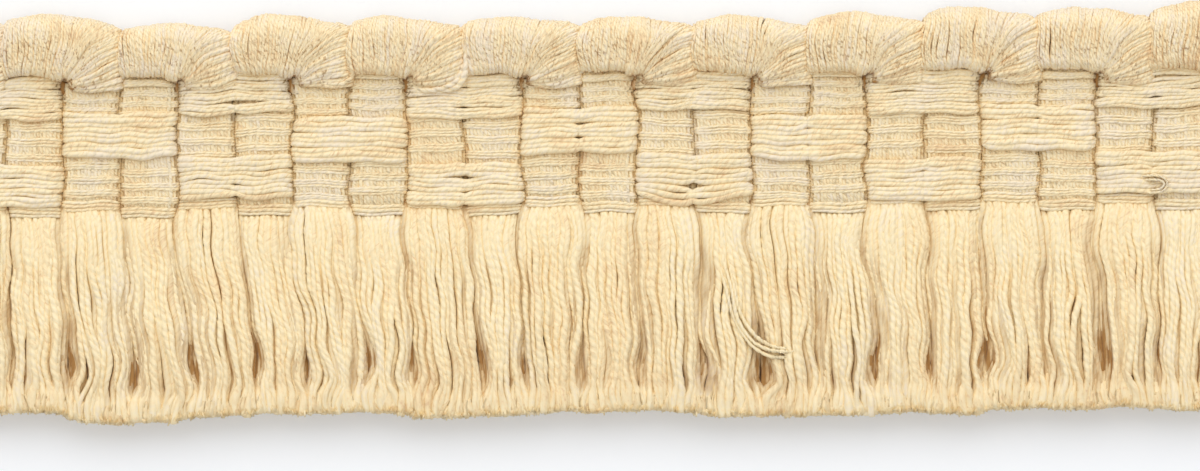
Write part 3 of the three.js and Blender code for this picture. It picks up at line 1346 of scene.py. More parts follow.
    def _heights(
        self, row: StrandRow, share: np.ndarray, down: np.ndarray, out: np.ndarray,
        rng: np.random.Generator, along: np.ndarray,
    ) -> np.ndarray:
        """Work out how high the strands lie.

        Args:
            row: The row's layout.
            share: Each strand's place across the bunch.
            down: Shares of the drop.
            out: How far each station is out of the heading, from 0 to 1.
            rng: Source of randomness.
            along: Stations from 0 to 1.

        Returns:
            z at each station.
        """
        count = row.strands
        crown = 1.0 - self.shoulder.at(down) * np.abs(2.0 * share - 1.0) ** 4
        top = self.thickness(down) * crown * row.level
        top = top + 0.1 * wander(rng, count, along, 1.8) * row.loose * ease(down, 0.05, 0.4)
        top = top + rng.normal(0.0, 0.1, (count, 1)) * row.loose * ease(down, 0.0, 0.15)
        rises = 1.0 - ease(down, 0.1, 0.35) + 0.6 * wander(rng, count, along, 1.6)
        top = top + row.mingles * rises
        inside = row.level * 0.62 * self.plan.heading_height
        return inside + (top - inside) * out

    def _shade_depths(
        self, row: StrandRow, share: np.ndarray, down: np.ndarray, below: np.ndarray,
        z: np.ndarray,
    ) -> np.ndarray:
        """Work out how much painted shade each station takes: below the face, beside the partings and
        bunch edges, at the mouth under the heading's edge and above the cut ends.

        Args:
            row: The row's layout.
            share: Each strand's place across the bunch.
            down: Shares of the drop.
            below: How far each station lies below the bunch's mouth.
            z: Height of each station.

        Returns:
            The painted shade at each station.
        """
        beside = np.minimum(share, 1.0 - share) * self.plan.pitch
        hollow = hump(down, 0.35, 0.72, 0.84, 0.93)
        under = ease(self.thickness(down) * self.rows[0].level - z, 0.0, 0.55)
        depth = (row.depth * under + 0.03 * hollow) * (1.0 - 0.7 * ease(down, 0.86, 0.95))
        depth = depth + 0.1 * np.exp(-((beside / 0.7) ** 2)) * hollow
        depth = depth + 0.13 * np.exp(-((beside / 0.4) ** 2)) * (1.0 - ease(down, 0.25, 0.6))
        depth = depth + 0.35 * (1.0 - ease(below, -0.3, 0.3))
        return depth + 0.1 * (ease(down, 0.68, 0.88) - ease(down, 0.92, 0.97))

    def _cut_fibres(self, strands: Yarns, row: StrandRow, rng: np.random.Generator) -> Yarns:
        """Brush out the cut ends.

        Args:
            strands: The strands whose ends are brushed out.
            row: Their row.
            rng: Source of randomness.

        Returns:
            Short loose fibres.
        """
        ends = np.repeat(strands.paths[:, -1], row.fibres, axis=0)
        count = len(ends)
        spread = rng.normal(0.0, 1.0, (count, 3))
        shares = np.array([0.0, 0.4, 0.75, 1.0])
        paths = ends[:, None, :] + np.zeros((1, shares.size, 1))
        fan = 0.12 + 0.24 * shares
        paths[..., 0] += spread[:, :1] * fan
        paths[..., 2] += spread[:, 1:2] * fan * 0.8
        paths[..., 1] += 1.7 * (1.0 - shares) - 0.1 + 0.11 * spread[:, 2:]
        paths[..., 2] = np.clip(paths[..., 2], 0.12, self.plan.brush_height + 0.25)
        return Yarns(
            paths, np.array([0.14, 0.22, 0.20, 0.10]) * rng.uniform(0.8, 1.3, (count, 1)),
            # A trace of the row's painted shade, fading along the fibre.
            tone=rng.uniform(0.0, 0.4, count), depth=0.03 * row.depth * (1.0 - shares),
            section=Section.FIBRE, tall=0.6,
        )

    def _matted_ends(self, number: int, rng: np.random.Generator) -> Yarns:
        """Lay fibres over the face of the cut ends, where they have matted together.

        Args:
            number: Which bunch.
            rng: Source of randomness.

        Returns:
            The matted fibres.
        """
        count = self.mat
        share = rng.uniform(0.02, 0.98, (count, 1))
        drop = self.drop(number, share)
        shares = np.array([0.0, 0.35, 0.7, 0.9, 1.0])
        start = -drop + 0.9 + 2.4 * rng.uniform(0.0, 1.0, (count, 1)) ** 1.5
        end = -drop + rng.normal(0.0, 0.08, (count, 1))
        y = start + (end - start) * shares
        down = np.clip(-y / drop, 0.0, 1.0)
        drift = rng.normal(0.0, 0.3, (count, 1)) * shares + 0.12 * wander(rng, count, shares, 1.3)
        x = self.between(number, down, share) + drift
        face = self.thickness(down) * self.rows[0].level + self.strand_radius * self.flare
        sunk = np.array([0.85, 0.22, 0.1, 0.1, 0.25])
        z = face - sunk - rng.uniform(0.0, 0.12, (count, 1))
        return Yarns(
            np.stack([x, y, z], axis=2),
            np.array([0.05, 0.28, 0.5, 0.55, 0.25]) * rng.uniform(0.6, 1.3, (count, 1)),
            # Painted shade: darker where the mat starts, fading to the rim.
            tone=rng.uniform(0.4, 1.0, count) ** 0.8, depth=0.2 * (1.0 - shares**3),
            section=Section.FIBRE, tall=0.3,
        )


# ---- Heading ------------------------------------------------------------------------------


@dataclass(frozen=True)
class WarpZone:
    """A band of warp groups that share one weave.

    Attributes:
        first: y of its lowest group.
        pitch: Distance from one group to the next.
        groups: How many groups it holds.
        floats: 0 where even pairs of columns carry floats, 1 where odd pairs do, None for none.
    """

    first: float
    pitch: float
    groups: int
    floats: int | None


@dataclass(frozen=True)
class WarpGroup:
    """A few warp yarns that weave side by side.

    Attributes:
        y: Height of the group's middle above the fringe edge.
        zone: The zone in which it lies.
        first_kind: Whether it is of the first of the two kinds that take turns.
    """

    y: float
    zone: WarpZone
    first_kind: bool

    def has_float(self, column: int) -> bool:
        """Tell whether one of the two kinds floats over both columns of this column's pair."""
        return self.zone.floats is not None and ((column + 1) // 2) % 2 == self.zone.floats

    def over(self, column: int) -> bool:
        """Tell whether the group shows on the face of a column.

        Args:
            column: Which column.

        Returns:
            Whether it passes over the column and not beneath it.
        """
        if self.zone.floats is None:
            return (column % 2 == 1) == self.first_kind
        pair, second = divmod(column + 1, 2)
        if self.has_float(column):
            return (((pair - self.zone.floats) // 2) % 2 == 1) == self.first_kind
        leads = ((pair - 1 + self.zone.floats) // 2) % 2 == 1
        first_over = leads == (self.zone.floats == 1)
        return (first_over != bool(second)) == self.first_kind


@dataclass
class WovenHeading:
    """The woven heading: weft columns, and groups of warp yarns that cross them.

    Attributes:
        plan: The trim's sizes.
        zones: The zones from the fringe edge up.
        yarns_per_group: Warp yarns in a group.
        weft_per_column: Weft strands in a column.
        weft_radius: Half a weft strand's width.
        weft_back: Height of the weft's back.
        under: Height of a warp that passes beneath a column.
        steps: Shares of a column at which a warp has its stations.
        groups_per_piece: Warp groups that make one piece.
    """

    plan: TrimPlan
    zones: tuple[WarpZone, ...] = (
        WarpZone(0.4, 0.9, 2, None),
        WarpZone(1.95, 0.86, 6, 1),
        WarpZone(7.3, 0.93, 6, 0),
        WarpZone(12.6, 0.66, 8, 1),
    )
    yarns_per_group: int = 3
    weft_per_column: int = 17
    weft_radius: float = 0.238
    weft_back: float = 0.45
    under: float = 0.32
    steps: tuple[float, ...] = (
        0.0, 0.02, 0.05, 0.1, 0.2, 0.35, 0.5, 0.65, 0.8, 0.9, 0.95, 0.98)
    groups_per_piece: int = 8

    def warp_groups(self) -> list[WarpGroup]:
        """List every group.

        Returns:
            The groups from the fringe edge up.
        """
        groups: list[WarpGroup] = []
        for zone in self.zones:
            for number in range(zone.groups):
                y = zone.first + zone.pitch * number
                groups.append(WarpGroup(y, zone, len(groups) % 2 == 1))
        return groups

    def build(self) -> list[bpy.types.Object]:
        """Build the ground band, the weft and the warps.

        Returns:
            The ground band first, then the yarn pieces.
        """
        rng = np.random.default_rng(SEED + 1)
        pieces = [self._ground(), self._weft(rng)]
        groups = self.warp_groups()
        for number, first in enumerate(range(0, len(groups), self.groups_per_piece)):
            mine = groups[first:first + self.groups_per_piece]
            pieces.append(self._warps(f"warp_yarns_{number + 1}", mine, rng))
        return pieces

    def dress(
        self, pieces: list[bpy.types.Object], warp: bpy.types.Material,
        with_pieces: list[bpy.types.Object],
    ) -> None:
        """Finish the heading.

        Args:
            pieces: The ground band first, then the yarn pieces.
            warp: The finish of the warps.
            with_pieces: Not used.
        """
        for piece in pieces:
            dress(piece, warp, "heading_yarn", "heading_band")

    def pillow(self, across: np.ndarray) -> np.ndarray:
        """Rise of a column's face from its seams, 0 to 1."""
        return 1.0 - np.abs(2.0 * across - 1.0) ** 12

    def _ground(self) -> bpy.types.Object:
        """Build the closed band of weft that lies inside the yarns.

        Returns:
            The band's piece.
        """
        plan = self.plan
        bpy.ops.object.select_all(action="DESELECT")
        bpy.ops.mesh.primitive_grid_add(x_subdivisions=plan.columns * 6, y_subdivisions=6, size=1.0)
        band = bpy.context.active_object
        band.name = band.data.name = "heading_ground"
        bpy.ops.object.mode_set(mode="EDIT")
        bpy.ops.mesh.select_all(action="SELECT")
        bpy.ops.mesh.extrude_region_move(TRANSFORM_OT_translate={"value": (0.0, 0.0, 1.0)})
        bpy.ops.object.mode_set(mode="OBJECT")
        points = np.empty(len(band.data.vertices) * 3)
        band.data.vertices.foreach_get("co", points)
        points = points.reshape(-1, 3)
        inset, low, thick = 0.9, 0.9, 0.9
        x = points[:, 0] * (plan.pitch * plan.columns - 0.6) + (plan.left + plan.right) / 2.0
        y = (points[:, 1] + 0.5) * (plan.heading_depth - 1.5) + inset
        rise = self.pillow(np.mod((x - plan.left) / plan.pitch, 1.0))
        z = np.where(points[:, 2] > 0.5, low + thick + 0.4 * rise, low)
        placed = np.stack([x, y + plan.fringe_edge, z], axis=1) * METRES
        band.data.vertices.foreach_set("co", placed.reshape(-1))
        # Painted shade: the ground is coloured dark where it shows between the yarns.
        for name in ("tone", "depth"):
            attribute = band.data.attributes.new(name=name, type="FLOAT", domain="POINT")
            attribute.data.foreach_set("value", np.full(len(points), 0.9, dtype=np.float32))
        band.data.uv_layers.active.name = "yarn"
        bpy.ops.object.mode_set(mode="EDIT")
        bpy.ops.mesh.select_all(action="SELECT")
        bpy.ops.mesh.normals_make_consistent(inside=False)
        bpy.ops.object.mode_set(mode="OBJECT")
        return band

    def _weft(self, rng: np.random.Generator) -> bpy.types.Object:
        """Build the weft strands of every column, tall enough to show on both sides.

        Args:
            rng: Source of randomness.

        Returns:
            The weft's piece.
        """
        count = self.weft_per_column
        piece = YarnPiece("heading_weft", self.plan)
        along = np.linspace(0.0, 1.0, 8)
        for column in range(self.plan.columns):
            share = (np.arange(count) + 0.5 + rng.uniform(-0.07, 0.07, count)) / count
            x = self.plan.seam(column) + self.plan.pitch * (0.01 + 0.98 * share[:, None])
            face = 2.0 + 1.56 * self.pillow(share) + rng.normal(0.0, 0.04, count)
            low, high = ((0.1, 0.15), (0.9, 1.2))[column % 2]
            length = self.plan.heading_depth - high - low
            y = np.broadcast_to(low + length * along, (count, along.size))
            face = face[:, None] + 0.45 * ease(y, 15.0, 17.0)
            x = x + 0.02 * wander(rng, count, along, 1.5)
            piece.add(Yarns(
                np.stack([x, y, (face + self.weft_back) / 2.0], axis=2), self.weft_radius,
                turns=0.55 * length * along + rng.uniform(0.0, 1.0, (count, 1)),
                # A little painted shade on the weft.
                tone=rng.uniform(0.2, 1.0, count), depth=0.065, section=Section.FLAT_RIB,
                tall=(face - self.weft_back) / (2.0 * self.weft_radius),
            ))
        piece.add(self._seam_yarns(rng))
        return piece.build()

    def _seam_yarns(self, rng: np.random.Generator) -> Yarns:
        """Lay one yarn deep in every seam, where the weft turns between two columns, coloured in painted
        shade.

        Args:
            rng: Source of randomness.

        Returns:
            The seams' yarns.
        """
        count = self.plan.columns - 1
        along = np.linspace(0.0, 1.0, 30)
        low, high = 0.9, self.plan.heading_depth - 1.6
        y = np.broadcast_to(low + (high - low) * along, (count, along.size))
        seam = np.arange(1, self.plan.columns)[:, None]
        z = 2.2 + 0.1 * wander(rng, count, along, 4.0)
        for zone in self.zones:
            inside = (y > zone.first + 0.1) & (y < zone.first + zone.pitch * (zone.groups - 1) - 0.1)
            spanned = (seam % 2 == 0) & ((seam // 2) % 2 == zone.floats)
            z = np.where(inside & spanned, 3.1, z)
        x = self.plan.seam(seam) + 0.05 * wander(rng, count, along, 3.0)
        # Painted shade: the seam yarns are dark, lighter where they lie high, and mottled into spots.
        rng_pits = np.random.default_rng(SEED + 5)
        pits = 0.4 * wander(rng_pits, count, along, 6.0) + 0.3 * wander(rng_pits, count, along, 12.0)
        return Yarns(
            np.stack([x, y, z], axis=2), 0.48,
            turns=rng.uniform(0.0, 1.0, (count, 1)) + 8.0 * along,
            tone=rng.uniform(0.4, 1.0, count), depth=np.where(z > 2.8, 0.55, 0.8) + pits, tall=0.8,
        )

    def _warps(
        self, name: str, groups: list[WarpGroup], rng: np.random.Generator
    ) -> bpy.types.Object:
        """Build some of the warp groups, from end to end of the trim.

        Args:
            name: The piece's name.
            groups: The groups to build.
            rng: Source of randomness.

        Returns:
            The warps' piece.
        """
        piece = YarnPiece(name, self.plan)
        columns = np.arange(self.plan.columns)
        column = np.append(np.repeat(columns, len(self.steps)), columns[-1])
        across = np.append(np.tile(self.steps, columns.size), 1.0)
        for group in groups:
            piece.add(self._group(group, column, across, rng))
        return piece.build()

    def _edge_height(self, one: bool, other: bool) -> float:
        """Height at which a warp passes the seam between two columns.

        Args:
            one: Whether it shows on the column before the seam.
            other: Whether it shows on the column after it.

        Returns:
            z of its middle.
        """
        if one and other:
            return self.plan.heading_height - 0.5
        return 2.3 if one or other else self.under

    def _group(
        self, group: WarpGroup, column: np.ndarray, across: np.ndarray, rng: np.random.Generator
    ) -> Yarns:
        """Weave one group of warp yarns through all columns.

        Args:
            group: Which group.
            column: The column at each station.
            across: The share of the way across it.
            rng: Source of randomness.

        Returns:
            The group's yarns.
        """
        columns, height = self.plan.columns, self.plan.heading_height
        states = [group.over(c) for c in range(-1, columns + 1)]
        edges = np.array([self._edge_height(*pair) for pair in zip(states[:-1], states[1:], strict=True)])
        over = np.array(states[1:-1])
        floats = over & np.array([group.has_float(c) for c in range(columns)])
        beside_loops = ease(group.y, 15.6, 16.5)
        crest = np.where(over, height - 0.74 + 0.45 * beside_loops, self.under)
        crest = np.where(floats, height - 0.42 + 0.15 * beside_loops, crest)
        edge = np.where(across < 0.5, edges[:-1][column], edges[1:][column])
        z = edge + (crest[column] - edge) * self.pillow(across)
        period = 2.0 * group.zone.pitch
        edge_group = group.zone.floats is None
        wide = (0.25 if edge_group else 0.19) * period
        spacing = np.where(floats, 0.325 * period, wide)[column]
        pinched = rng.uniform(0.0, 0.12, columns + 1)
        pinched = pinched + 0.35 * (rng.uniform(0.0, 1.0, columns + 1) < 0.3)
        from_seam = np.minimum(across, 1.0 - across) * self.plan.pitch
        seam = column + (across > 0.5)
        held = np.where(edge > 2.0, pinched[seam], 0.25) * np.exp(-((from_seam / 0.6) ** 2))
        spacing = self._smooth(spacing) * (1.0 - held)
        shown = 0.28 if edge_group else 0.23
        radius = np.where(floats, 0.247 * period, np.where(over, shown, 0.22))[column]
        slack = self._smooth(np.where(floats, 1.0, 0.4)[column])
        count = self.yarns_per_group
        x = self.plan.seam(column + across)
        along = (x - x[0]) / (x[-1] - x[0])
        order = (np.arange(count) - (count - 1) / 2.0)[:, None]
        y = group.y + order * spacing + 0.12 * wander(rng, 1, along, 17.0) * slack
        for sag in SAGS:
            if self.warp_groups()[sag.group] == group:
                from_middle = np.abs(column + across - 2.0 * sag.pair + 0.1)
                slips = 1.0 - ease(from_middle, 0.1, 0.95)
                y = y - sag.depth * slips + order * spacing * sag.splay * slips
        y = y + 0.14 * wander(rng, count, along, 24.0) * slack
        z = z + 0.09 * wander(rng, count, along, 22.0) * slack - 0.04 * np.abs(order)
        radii = self._smooth(radius) * rng.uniform(0.9, 1.08, (count, 1))
        radii = radii * (1.0 + 0.15 * wander(rng, count, along, 40.0))
        lengths = np.concatenate([[0.0], np.cumsum(np.hypot(np.diff(x), np.diff(z[0])))])
        # Painted shade: darker where a warp dips low, and round the eyes at odd seams below the loops.
        depth = 0.025 + 0.6 * (1.0 - ease(z, 1.8, 3.0))
        from_eye = np.where(seam % 2 == 1, from_seam, self.plan.pitch)
        depth = depth + 0.55 * ease(y, 13.8, 16.2) * np.exp(-((from_eye / 0.7) ** 2))
        return Yarns(
            np.stack([np.broadcast_to(x, z.shape), y, z], axis=2), radii,
            turns=0.5 * lengths + rng.uniform(0.0, 1.0, (count, 1)),
            # Painted light: the tone is paler near the loops, against the shade that they cast.
            tone=rng.uniform(0.1, 1.0, count) - 0.35 * ease(group.y, 13.6, 15.6),
            depth=depth, tall=0.82,
        )

    @staticmethod
    def _smooth(values: np.ndarray) -> np.ndarray:
        """Round off the steps between columns."""
        return np.convolve(np.pad(values, 2, mode="edge"), np.ones(5) / 5.0, mode="valid")


# ---- Loops --------------------------------------------------------------------------------


@dataclass
class TurnedLoops:
    """The fat loops in which the weft bundles turn over along the looped edge.

    Attributes:
        plan: The trim's sizes.
        rising: Strands that rise out of a loop's first column.
        fanned: Strands that fan out of its eye.
        stations: Stations along each strand.
        radius: Half a strand's thickness round the fan.
        twist: Turns of the plies for each millimetre.
        eye_drop: How far the eye lies below the heading's edge.
        rising_crest: Crest of the rising strands, as a share of the loop's thickness.
        fanned_crest: Crest of the fanned strands.
    """

    plan: TrimPlan
    rising: int = 27
    fanned: int = 38
    stations: int = 27
    radius: Profile = Profile((0.1, 0.8), (0.27, 0.33))
    twist: float = 0.55
    eye_drop: float = 1.4
    rising_crest: Profile = Profile((0.0, 0.1, 0.3), (0.79, 0.9, 0.95))
    fanned_crest: Profile = Profile((0.0, 0.4, 0.8, 1.0), (0.95, 0.92, 0.8, 0.69))

    def build(self) -> list[bpy.types.Object]:
        """Build every loop, one piece for each."""
        rng = np.random.default_rng(SEED + 2)
        return [self._loop(number, shape, rng) for number, shape in enumerate(LOOPS)]

    def dress(self, pieces: list[bpy.types.Object], material: bpy.types.Material) -> None:
        """Finish the loops and let each stand for its solid."""
        for number, piece in enumerate(pieces):
            dress(piece, material, "loop_yarn", f"loop_{number + 1:02d}")

    def _eye_x(self, number: int) -> float:
        """x of a loop's eye."""
        return self.plan.seam(2 * number + 1)

    def _edge_height(self, shape: LoopShape, x: np.ndarray) -> np.ndarray:
        """Height of a loop's outer edge above the heading's edge.

        Args:
            shape: The loop's reach and lean.
            x: Distances from its eye.

        Returns:
            The height at each distance.
        """
        upright = x - 0.4 * shape.lean * (1.0 - (x / self.plan.pitch) ** 2)
        return 0.3 - self.radius.values[0] + shape.reach * CROWN.at(upright / self.plan.pitch)

    def _starts(self, rising: np.ndarray, fan: np.ndarray) -> np.ndarray:
        """Find where the strands come out of the heading.

        Args:
            rising: Shares of the way along the first column.
            fan: Shares of the way round the eye.

        Returns:
            Points in plan; x from the eye and y from the heading's edge.
        """
        angle = np.radians(150.0 - 190.0 * fan)
        return np.concatenate([
            np.stack([-6.95 + 6.5 * rising, -0.45 - 0.5 * ease(rising, 0.75, 1.0)], axis=1),
            np.stack([0.4 + 0.7 * np.cos(angle), 0.7 * np.sin(angle) - self.eye_drop], axis=1),
        ])

    def _ends(self, shape: LoopShape, rising: np.ndarray, fan: np.ndarray) -> np.ndarray:
        """Find where the strands cross a loop's outer edge.

        Args:
            shape: The loop's reach and lean.
            rising: Shares of the way along the first column.
            fan: Shares of the way round the eye.

        Returns:
            Points in plan; x from the eye and y from the heading's edge.
        """
        half = self.plan.pitch + 0.25
        first_x = -7.05 + 7.9 * rising
        top_x = np.linspace(0.9, half, 40)
        x = np.append(top_x, half)
        y = np.append(self._edge_height(shape, top_x), -1.9)
        steps = np.concatenate([[0.0], np.cumsum(np.hypot(np.diff(x), np.diff(y)))])
        at = fan * steps[-1]
        over = np.stack([np.interp(at, steps, x), np.interp(at, steps, y)], axis=1)
        up = np.stack([first_x, self._edge_height(shape, first_x)], axis=1)
        return np.concatenate([up, over])

    def _loop(self, number: int, shape: LoopShape, rng: np.random.Generator) -> bpy.types.Object:
        """Build one loop.

        Args:
            number: Which loop.
            shape: Its reach and lean.
            rng: Source of randomness.

        Returns:
            The loop's piece.
        """
        rising = np.linspace(0.0, 1.0, self.rising)
        fan = (np.arange(self.fanned) + 0.5) / self.fanned
        fan = np.clip(fan + rng.normal(0.0, 0.006, fan.size), 0.0, 1.0)
        start = self._starts(rising, fan)
        start += rng.normal(0.0, 0.05, start.shape)
        end = self._ends(shape, rising, fan)
        count = len(end)
        top = self.plan.loop_height - 0.3
        crest = np.concatenate([self.rising_crest.at(rising), self.fanned_crest.at(fan)]) * top
        crest = crest + rng.normal(0.0, 0.06, count)
        low = np.concatenate([np.full(rising.size, 3.85), rng.uniform(3.0, 4.0, fan.size)])
        bent = 0.13 * np.sin(math.pi * fan**1.3) * (1.0 - ease(fan, 0.45, 0.95))
        bent = bent - 0.06 * ease(fan, 0.55, 0.95)
        arch = np.concatenate([0.09 * (1.0 - rising) ** 3, bent]) + rng.normal(0.0, 0.008, count)
        beside = np.concatenate([0.0 * rising, ease(fan, 0.4, 0.6)])
        paths, samples = self._turn_over(start, end, low, crest, arch, beside)
        for axis in range(3):
            paths[..., axis] += 0.09 * wander(rng, count, samples, 1.9)
        radii = self.radius.at(np.concatenate([0.0 * rising, fan])) * rng.uniform(0.9, 1.1, count)
        yarns = self._placed(number, paths, radii, rng)
        yarns.tone[self.rising:] += 0.15 * ease(fan, 0.4, 0.9)
        # Painted shade: dark round the eye, darker low down and on the lower slopes; a touch more of the
        # deep colour towards the outer edge.
        near_eye = 0.75 * (1.0 - ease(yarns.lengths, 0.0, 1.3))
        near_eye[:self.rising] = 0.0
        yarns.depth = near_eye + 0.15 * (1.0 - ease(yarns.paths[..., 2], 0.5, 2.5))
        yarns.depth += 0.05 * hump(samples, 0.05, 0.2, 0.36, 0.62)
        yarns.depth += 0.02 * ease(samples, 0.42, 0.7)
        piece = YarnPiece(f"loop_yarn_{number + 1:02d}", self.plan)
        piece.add(yarns)
        piece.add(self._flanks(number, shape, rng))
        piece.add(self._core(number, shape, top))
        piece.add(self._eye(number))
        return piece.build()

    def _eye(self, number: int) -> Yarns:
        """Close a loop's eye with a cushion coloured in full painted shade, the dark inside the eye.

        Args:
            number: Which loop.

        Returns:
            One small cushion.
        """
        y = self.plan.heading_depth - self.eye_drop + np.linspace(-1.4, 0.7, 6)
        x = self._eye_x(number) + np.linspace(0.0, 0.2, y.size)
        return Yarns(
            np.stack([x, y, np.full(y.size, 2.7)], axis=1)[None],
            np.array([0.3, 0.42, 0.55, 0.7, 0.7, 0.4]), tone=0.8, depth=1.0,
            section=Section.CUSHION, tall=1.2,
        )

    def _turn_over(
        self, start: np.ndarray, end: np.ndarray, low: np.ndarray, crest: np.ndarray,
        arch: np.ndarray, beside: np.ndarray,
    ) -> tuple[np.ndarray, np.ndarray]:
        """Lead strands from their start over the face, round the outer edge and back beneath.

        Args:
            start: Where each strand starts, in plan.
            end: Where it crosses the outer edge, in plan.
            low: Height at which it starts.
            crest: Height of its crest.
            arch: How far it arches upwards in plan, as a share of its length.
            beside: 1 where it goes down against the next loop, 0 where it turns over the edge.

        Returns:
            Sampled paths, and the samples' shares of the way.
        """
        knots = np.array([0.0, 0.09, 0.20, 0.34, 0.48, 0.60, 0.69, 0.75, 0.80, 0.85, 0.91, 1.0])
        out = np.array([0.0, 0.06, 0.23, 0.45, 0.65, 0.82, 0.93, 0.985, 1.0, 0.97, 0.8, 0.05])
        up = np.array([0.0, 0.7, 0.97, 1.0, 0.985, 0.91, 0.72, 0.52, 0.35, 0.18, 0.08, 0.06])
        full = np.array([0.0, 0.7, 0.97, 1.0, 1.0, 0.98, 0.93, 0.86, 0.74, 0.4, 0.1, 0.06])
        chord = end - start
        flat = start[:, None] + chord[:, None] * out[None, :, None]
        aside = np.stack([-chord[:, 1], chord[:, 0]], axis=1) * arch[:, None]
        flat = flat + aside[:, None] * np.sin(math.pi * out)[None, :, None]
        high = crest[:, None] * (up + (full - up) * beside[:, None])
        high[:, 0] = low
        high[:, 1] = low + (crest - low) * 0.75
        samples = np.concatenate([np.linspace(0.0, 0.86, self.stations - 3), [0.91, 0.96, 1.0]])
        controls = np.concatenate([flat, high[..., None]], axis=2)
        return through(controls, knots, samples), samples

    def _placed(
        self, number: int, paths: np.ndarray, radius: np.ndarray, rng: np.random.Generator
    ) -> Yarns:
        """Move a loop's strands to their place and twist them.

        Args:
            number: Which loop.
            paths: Paths from the eye, y from the heading's edge.
            radius: Half the thickness of each strand.
            rng: Source of randomness.

        Returns:
            The strands, with no depth yet.
        """
        placed = paths + np.array([self._eye_x(number), self.plan.heading_depth, 0.0])
        placed[..., 2] = np.maximum(placed[..., 2], radius[:, None] + 0.02)
        yarns = Yarns(placed, radius[:, None], tone=rng.uniform(0.0, 0.85, len(paths)))
        yarns.turns = self.twist * yarns.lengths + rng.uniform(0.0, 1.0, (len(paths), 1))
        return yarns

    def _flanks(self, number: int, shape: LoopShape, rng: np.random.Generator) -> Yarns:
        """Close both sides of a loop with strands that rise one above the other.

        Args:
            number: Which loop.
            shape: Its reach and lean.
            rng: Source of randomness.

        Returns:
            The flanks' strands.
        """
        layers = 7
        heights = np.concatenate([np.linspace(0.6, high, layers) for high in (4.0, 3.5)])
        side = np.repeat([-1.0, 1.0], layers)
        rises = np.array([-0.06, 0.25, 0.5, 0.68, 0.8, 0.86])
        sides = np.array([0.96, 0.97, 0.965, 0.94, 0.89, 0.8])
        bottom = np.where(side < 0.0, -0.4, -1.5)[:, None]
        controls = np.empty((side.size, rises.size, 3))
        controls[..., 0] = side[:, None] * sides * self.plan.pitch
        controls[..., 1] = bottom * (1.0 - rises) + shape.reach * rises
        controls[..., 2] = heights[:, None]
        paths = through(controls, np.linspace(0.0, 1.0, rises.size), np.linspace(0.0, 1.0, 10))
        paths += 0.05 * rng.normal(0.0, 1.0, (side.size, 1, 3))
        return self._placed(number, paths, np.full(side.size, 0.28), rng)

    def _core(self, number: int, shape: LoopShape, top: float) -> Yarns:
        """Fill the middle of a loop with the strands that never show.

        Args:
            number: Which loop.
            shape: Its reach and lean.
            top: How high the loop's strands lie.

        Returns:
            One fat cushion.
        """
        side = np.linspace(-0.88, 0.88, 15)
        full = (1.0 - np.abs(side / 0.9) ** 4) ** 0.4 * (1.0 - 0.25 * ease(side, 0.1, 0.7))
        radii = 0.42 * shape.reach * full
        x = self._eye_x(number) + side * self.plan.pitch
        y = self.plan.heading_depth + 0.1 + radii
        middle = 0.47 * top
        return Yarns(
            np.stack([x, y, np.full(side.size, middle)], axis=1)[None], radii, tone=0.9,
            # Half painted shade, where it shows between the strands.
            depth=0.45, section=Section.CUSHION, tall=middle * full / radii,
        )


# ---- Studio -------------------------------------------------------------------------------


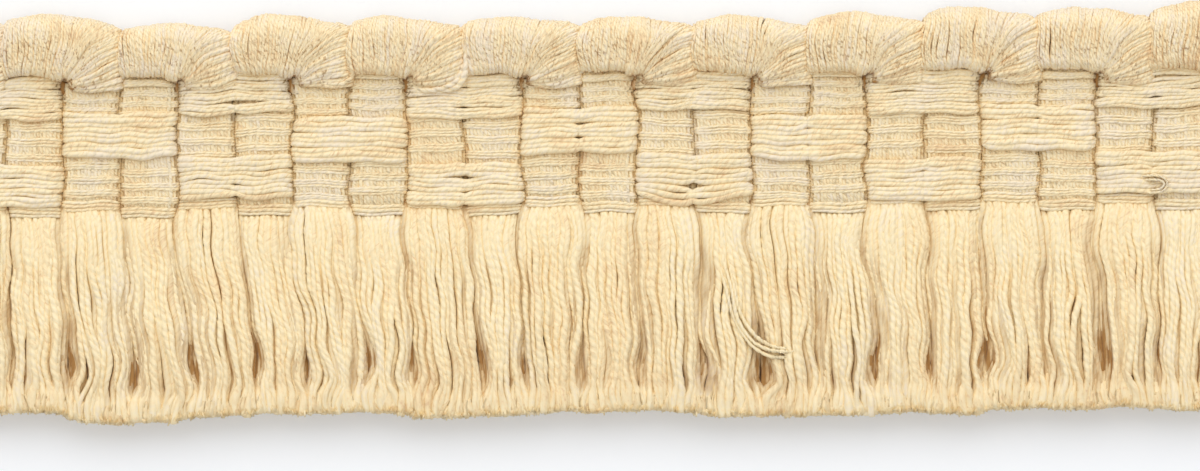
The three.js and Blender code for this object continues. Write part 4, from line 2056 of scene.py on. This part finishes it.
@dataclass
class Studio:
    """The pale floor, the soft light and the camera above the trim.

    Attributes:
        plan: The trim's sizes.
        view_width: Width of trim that the camera takes in.
        aim: Where the camera looks, from the middle of the trim.
        roll: How far the trim is turned in the view, in degrees.
        lens: Focal length.
        sensor: Width of the camera's sensor.
        floor_glow: Light that the floor gives off where it is seen.
        key_energy: Strength of the key light.
        key_width: How wide it looks from the trim, in degrees.
        key_lean: How far it leans about x and about y, in degrees.
        sky: Strength of the light from all round.
    """

    plan: TrimPlan
    view_width: float = 150.05
    aim: tuple[float, float] = (2.49, -3.0)
    roll: float = 0.43
    lens: float = 200.0
    sensor: float = 36.0
    floor_glow: float = 0.1
    key_energy: float = 1.56
    key_width: float = 65.0
    key_lean: tuple[float, float] = (-47.0, -5.0)
    sky: float = 0.735

    def build(self) -> None:
        """Set the floor, lights, world and camera."""
        self._floor()
        self._lights()
        self._camera()
        bpy.context.scene.view_settings.view_transform = "Standard"

    def _floor(self) -> None:
        """Lay a floor that shows white where no shadow falls."""
        bpy.ops.object.select_all(action="DESELECT")
        bpy.ops.mesh.primitive_plane_add(size=6.0, location=(0.0, 0.0, -0.00005))
        floor = bpy.context.active_object
        floor.name = "studio_floor"
        nodes = Nodes("floor_white")
        diffuse = nodes.add("BsdfDiffuse", {"Color": (*FLOOR_WHITE, 1.0)})
        rays = nodes.add("LightPath", {}).outputs
        bounced = nodes.math("MAXIMUM", rays["Is Glossy Ray"], rays["Is Transmission Ray"])
        seen = nodes.math("MAXIMUM", rays["Is Camera Ray"], bounced)
        glow = nodes.add("Emission", {"Strength": nodes.math("MULTIPLY", seen, self.floor_glow)})
        both = nodes.add("AddShader", {0: diffuse.outputs["BSDF"], 1: glow.outputs["Emission"]})
        nodes.add("OutputMaterial", {"Surface": both.outputs["Shader"]})
        floor.data.materials.append(nodes.material)

    def _lights(self) -> None:
        """Light the trim softly from beyond its looped edge, and all round from the world."""
        sun = bpy.data.lights.new("soft_key", "SUN")
        sun.energy = self.key_energy
        sun.angle = math.radians(self.key_width)
        key = bpy.data.objects.new("soft_key", sun)
        key.rotation_euler = (*(math.radians(lean) for lean in self.key_lean), 0.0)
        bpy.context.scene.collection.objects.link(key)
        world = bpy.data.worlds.new("studio_world")
        world.use_nodes = True
        background = world.node_tree.nodes["Background"]
        background.inputs["Color"].default_value = (1.0, 1.0, 1.0, 1.0)
        background.inputs["Strength"].default_value = self.sky
        bpy.context.scene.world = world

    def _camera(self) -> None:
        """Hang the camera straight above the trim's face."""
        data = bpy.data.cameras.new("camera_above")
        data.lens = self.lens
        data.sensor_width = self.sensor
        data.clip_end = 10.0
        camera = bpy.data.objects.new("camera_above", data)
        middle = (self.plan.left + self.plan.right) / 2.0
        distance = self.view_width * self.lens / self.sensor
        face = 0.6 * self.plan.heading_height
        camera.location = (
            (middle + self.aim[0]) * METRES,
            (self.plan.fringe_edge + self.aim[1]) * METRES,
            (face + distance) * METRES,
        )
        camera.rotation_euler = (0.0, 0.0, math.radians(-self.roll))
        bpy.context.scene.collection.objects.link(camera)
        bpy.context.scene.camera = camera


def main() -> None:
    """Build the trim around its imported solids."""
    logging.basicConfig(level=logging.INFO, format="%(message)s")
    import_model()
    plan = TrimPlan.from_frame()
    Studio(plan).build()
    strand_cotton, warp_cotton = STRAND_COTTON.make(), WARP_COTTON.make()
    loop_cotton = LOOP_COTTON.make()

    loops = TurnedLoops(plan)
    loop_pieces = loops.build()
    loops.dress(loop_pieces, loop_cotton)

    brush = BrushFringe(plan)
    brush_pieces = brush.build()
    brush.dress(brush_pieces, strand_cotton)

    heading = WovenHeading(plan)
    heading_pieces = heading.build()
    heading.dress(heading_pieces, warp_cotton, [*loop_pieces, *brush_pieces])


if __name__ == "__main__":
    main()
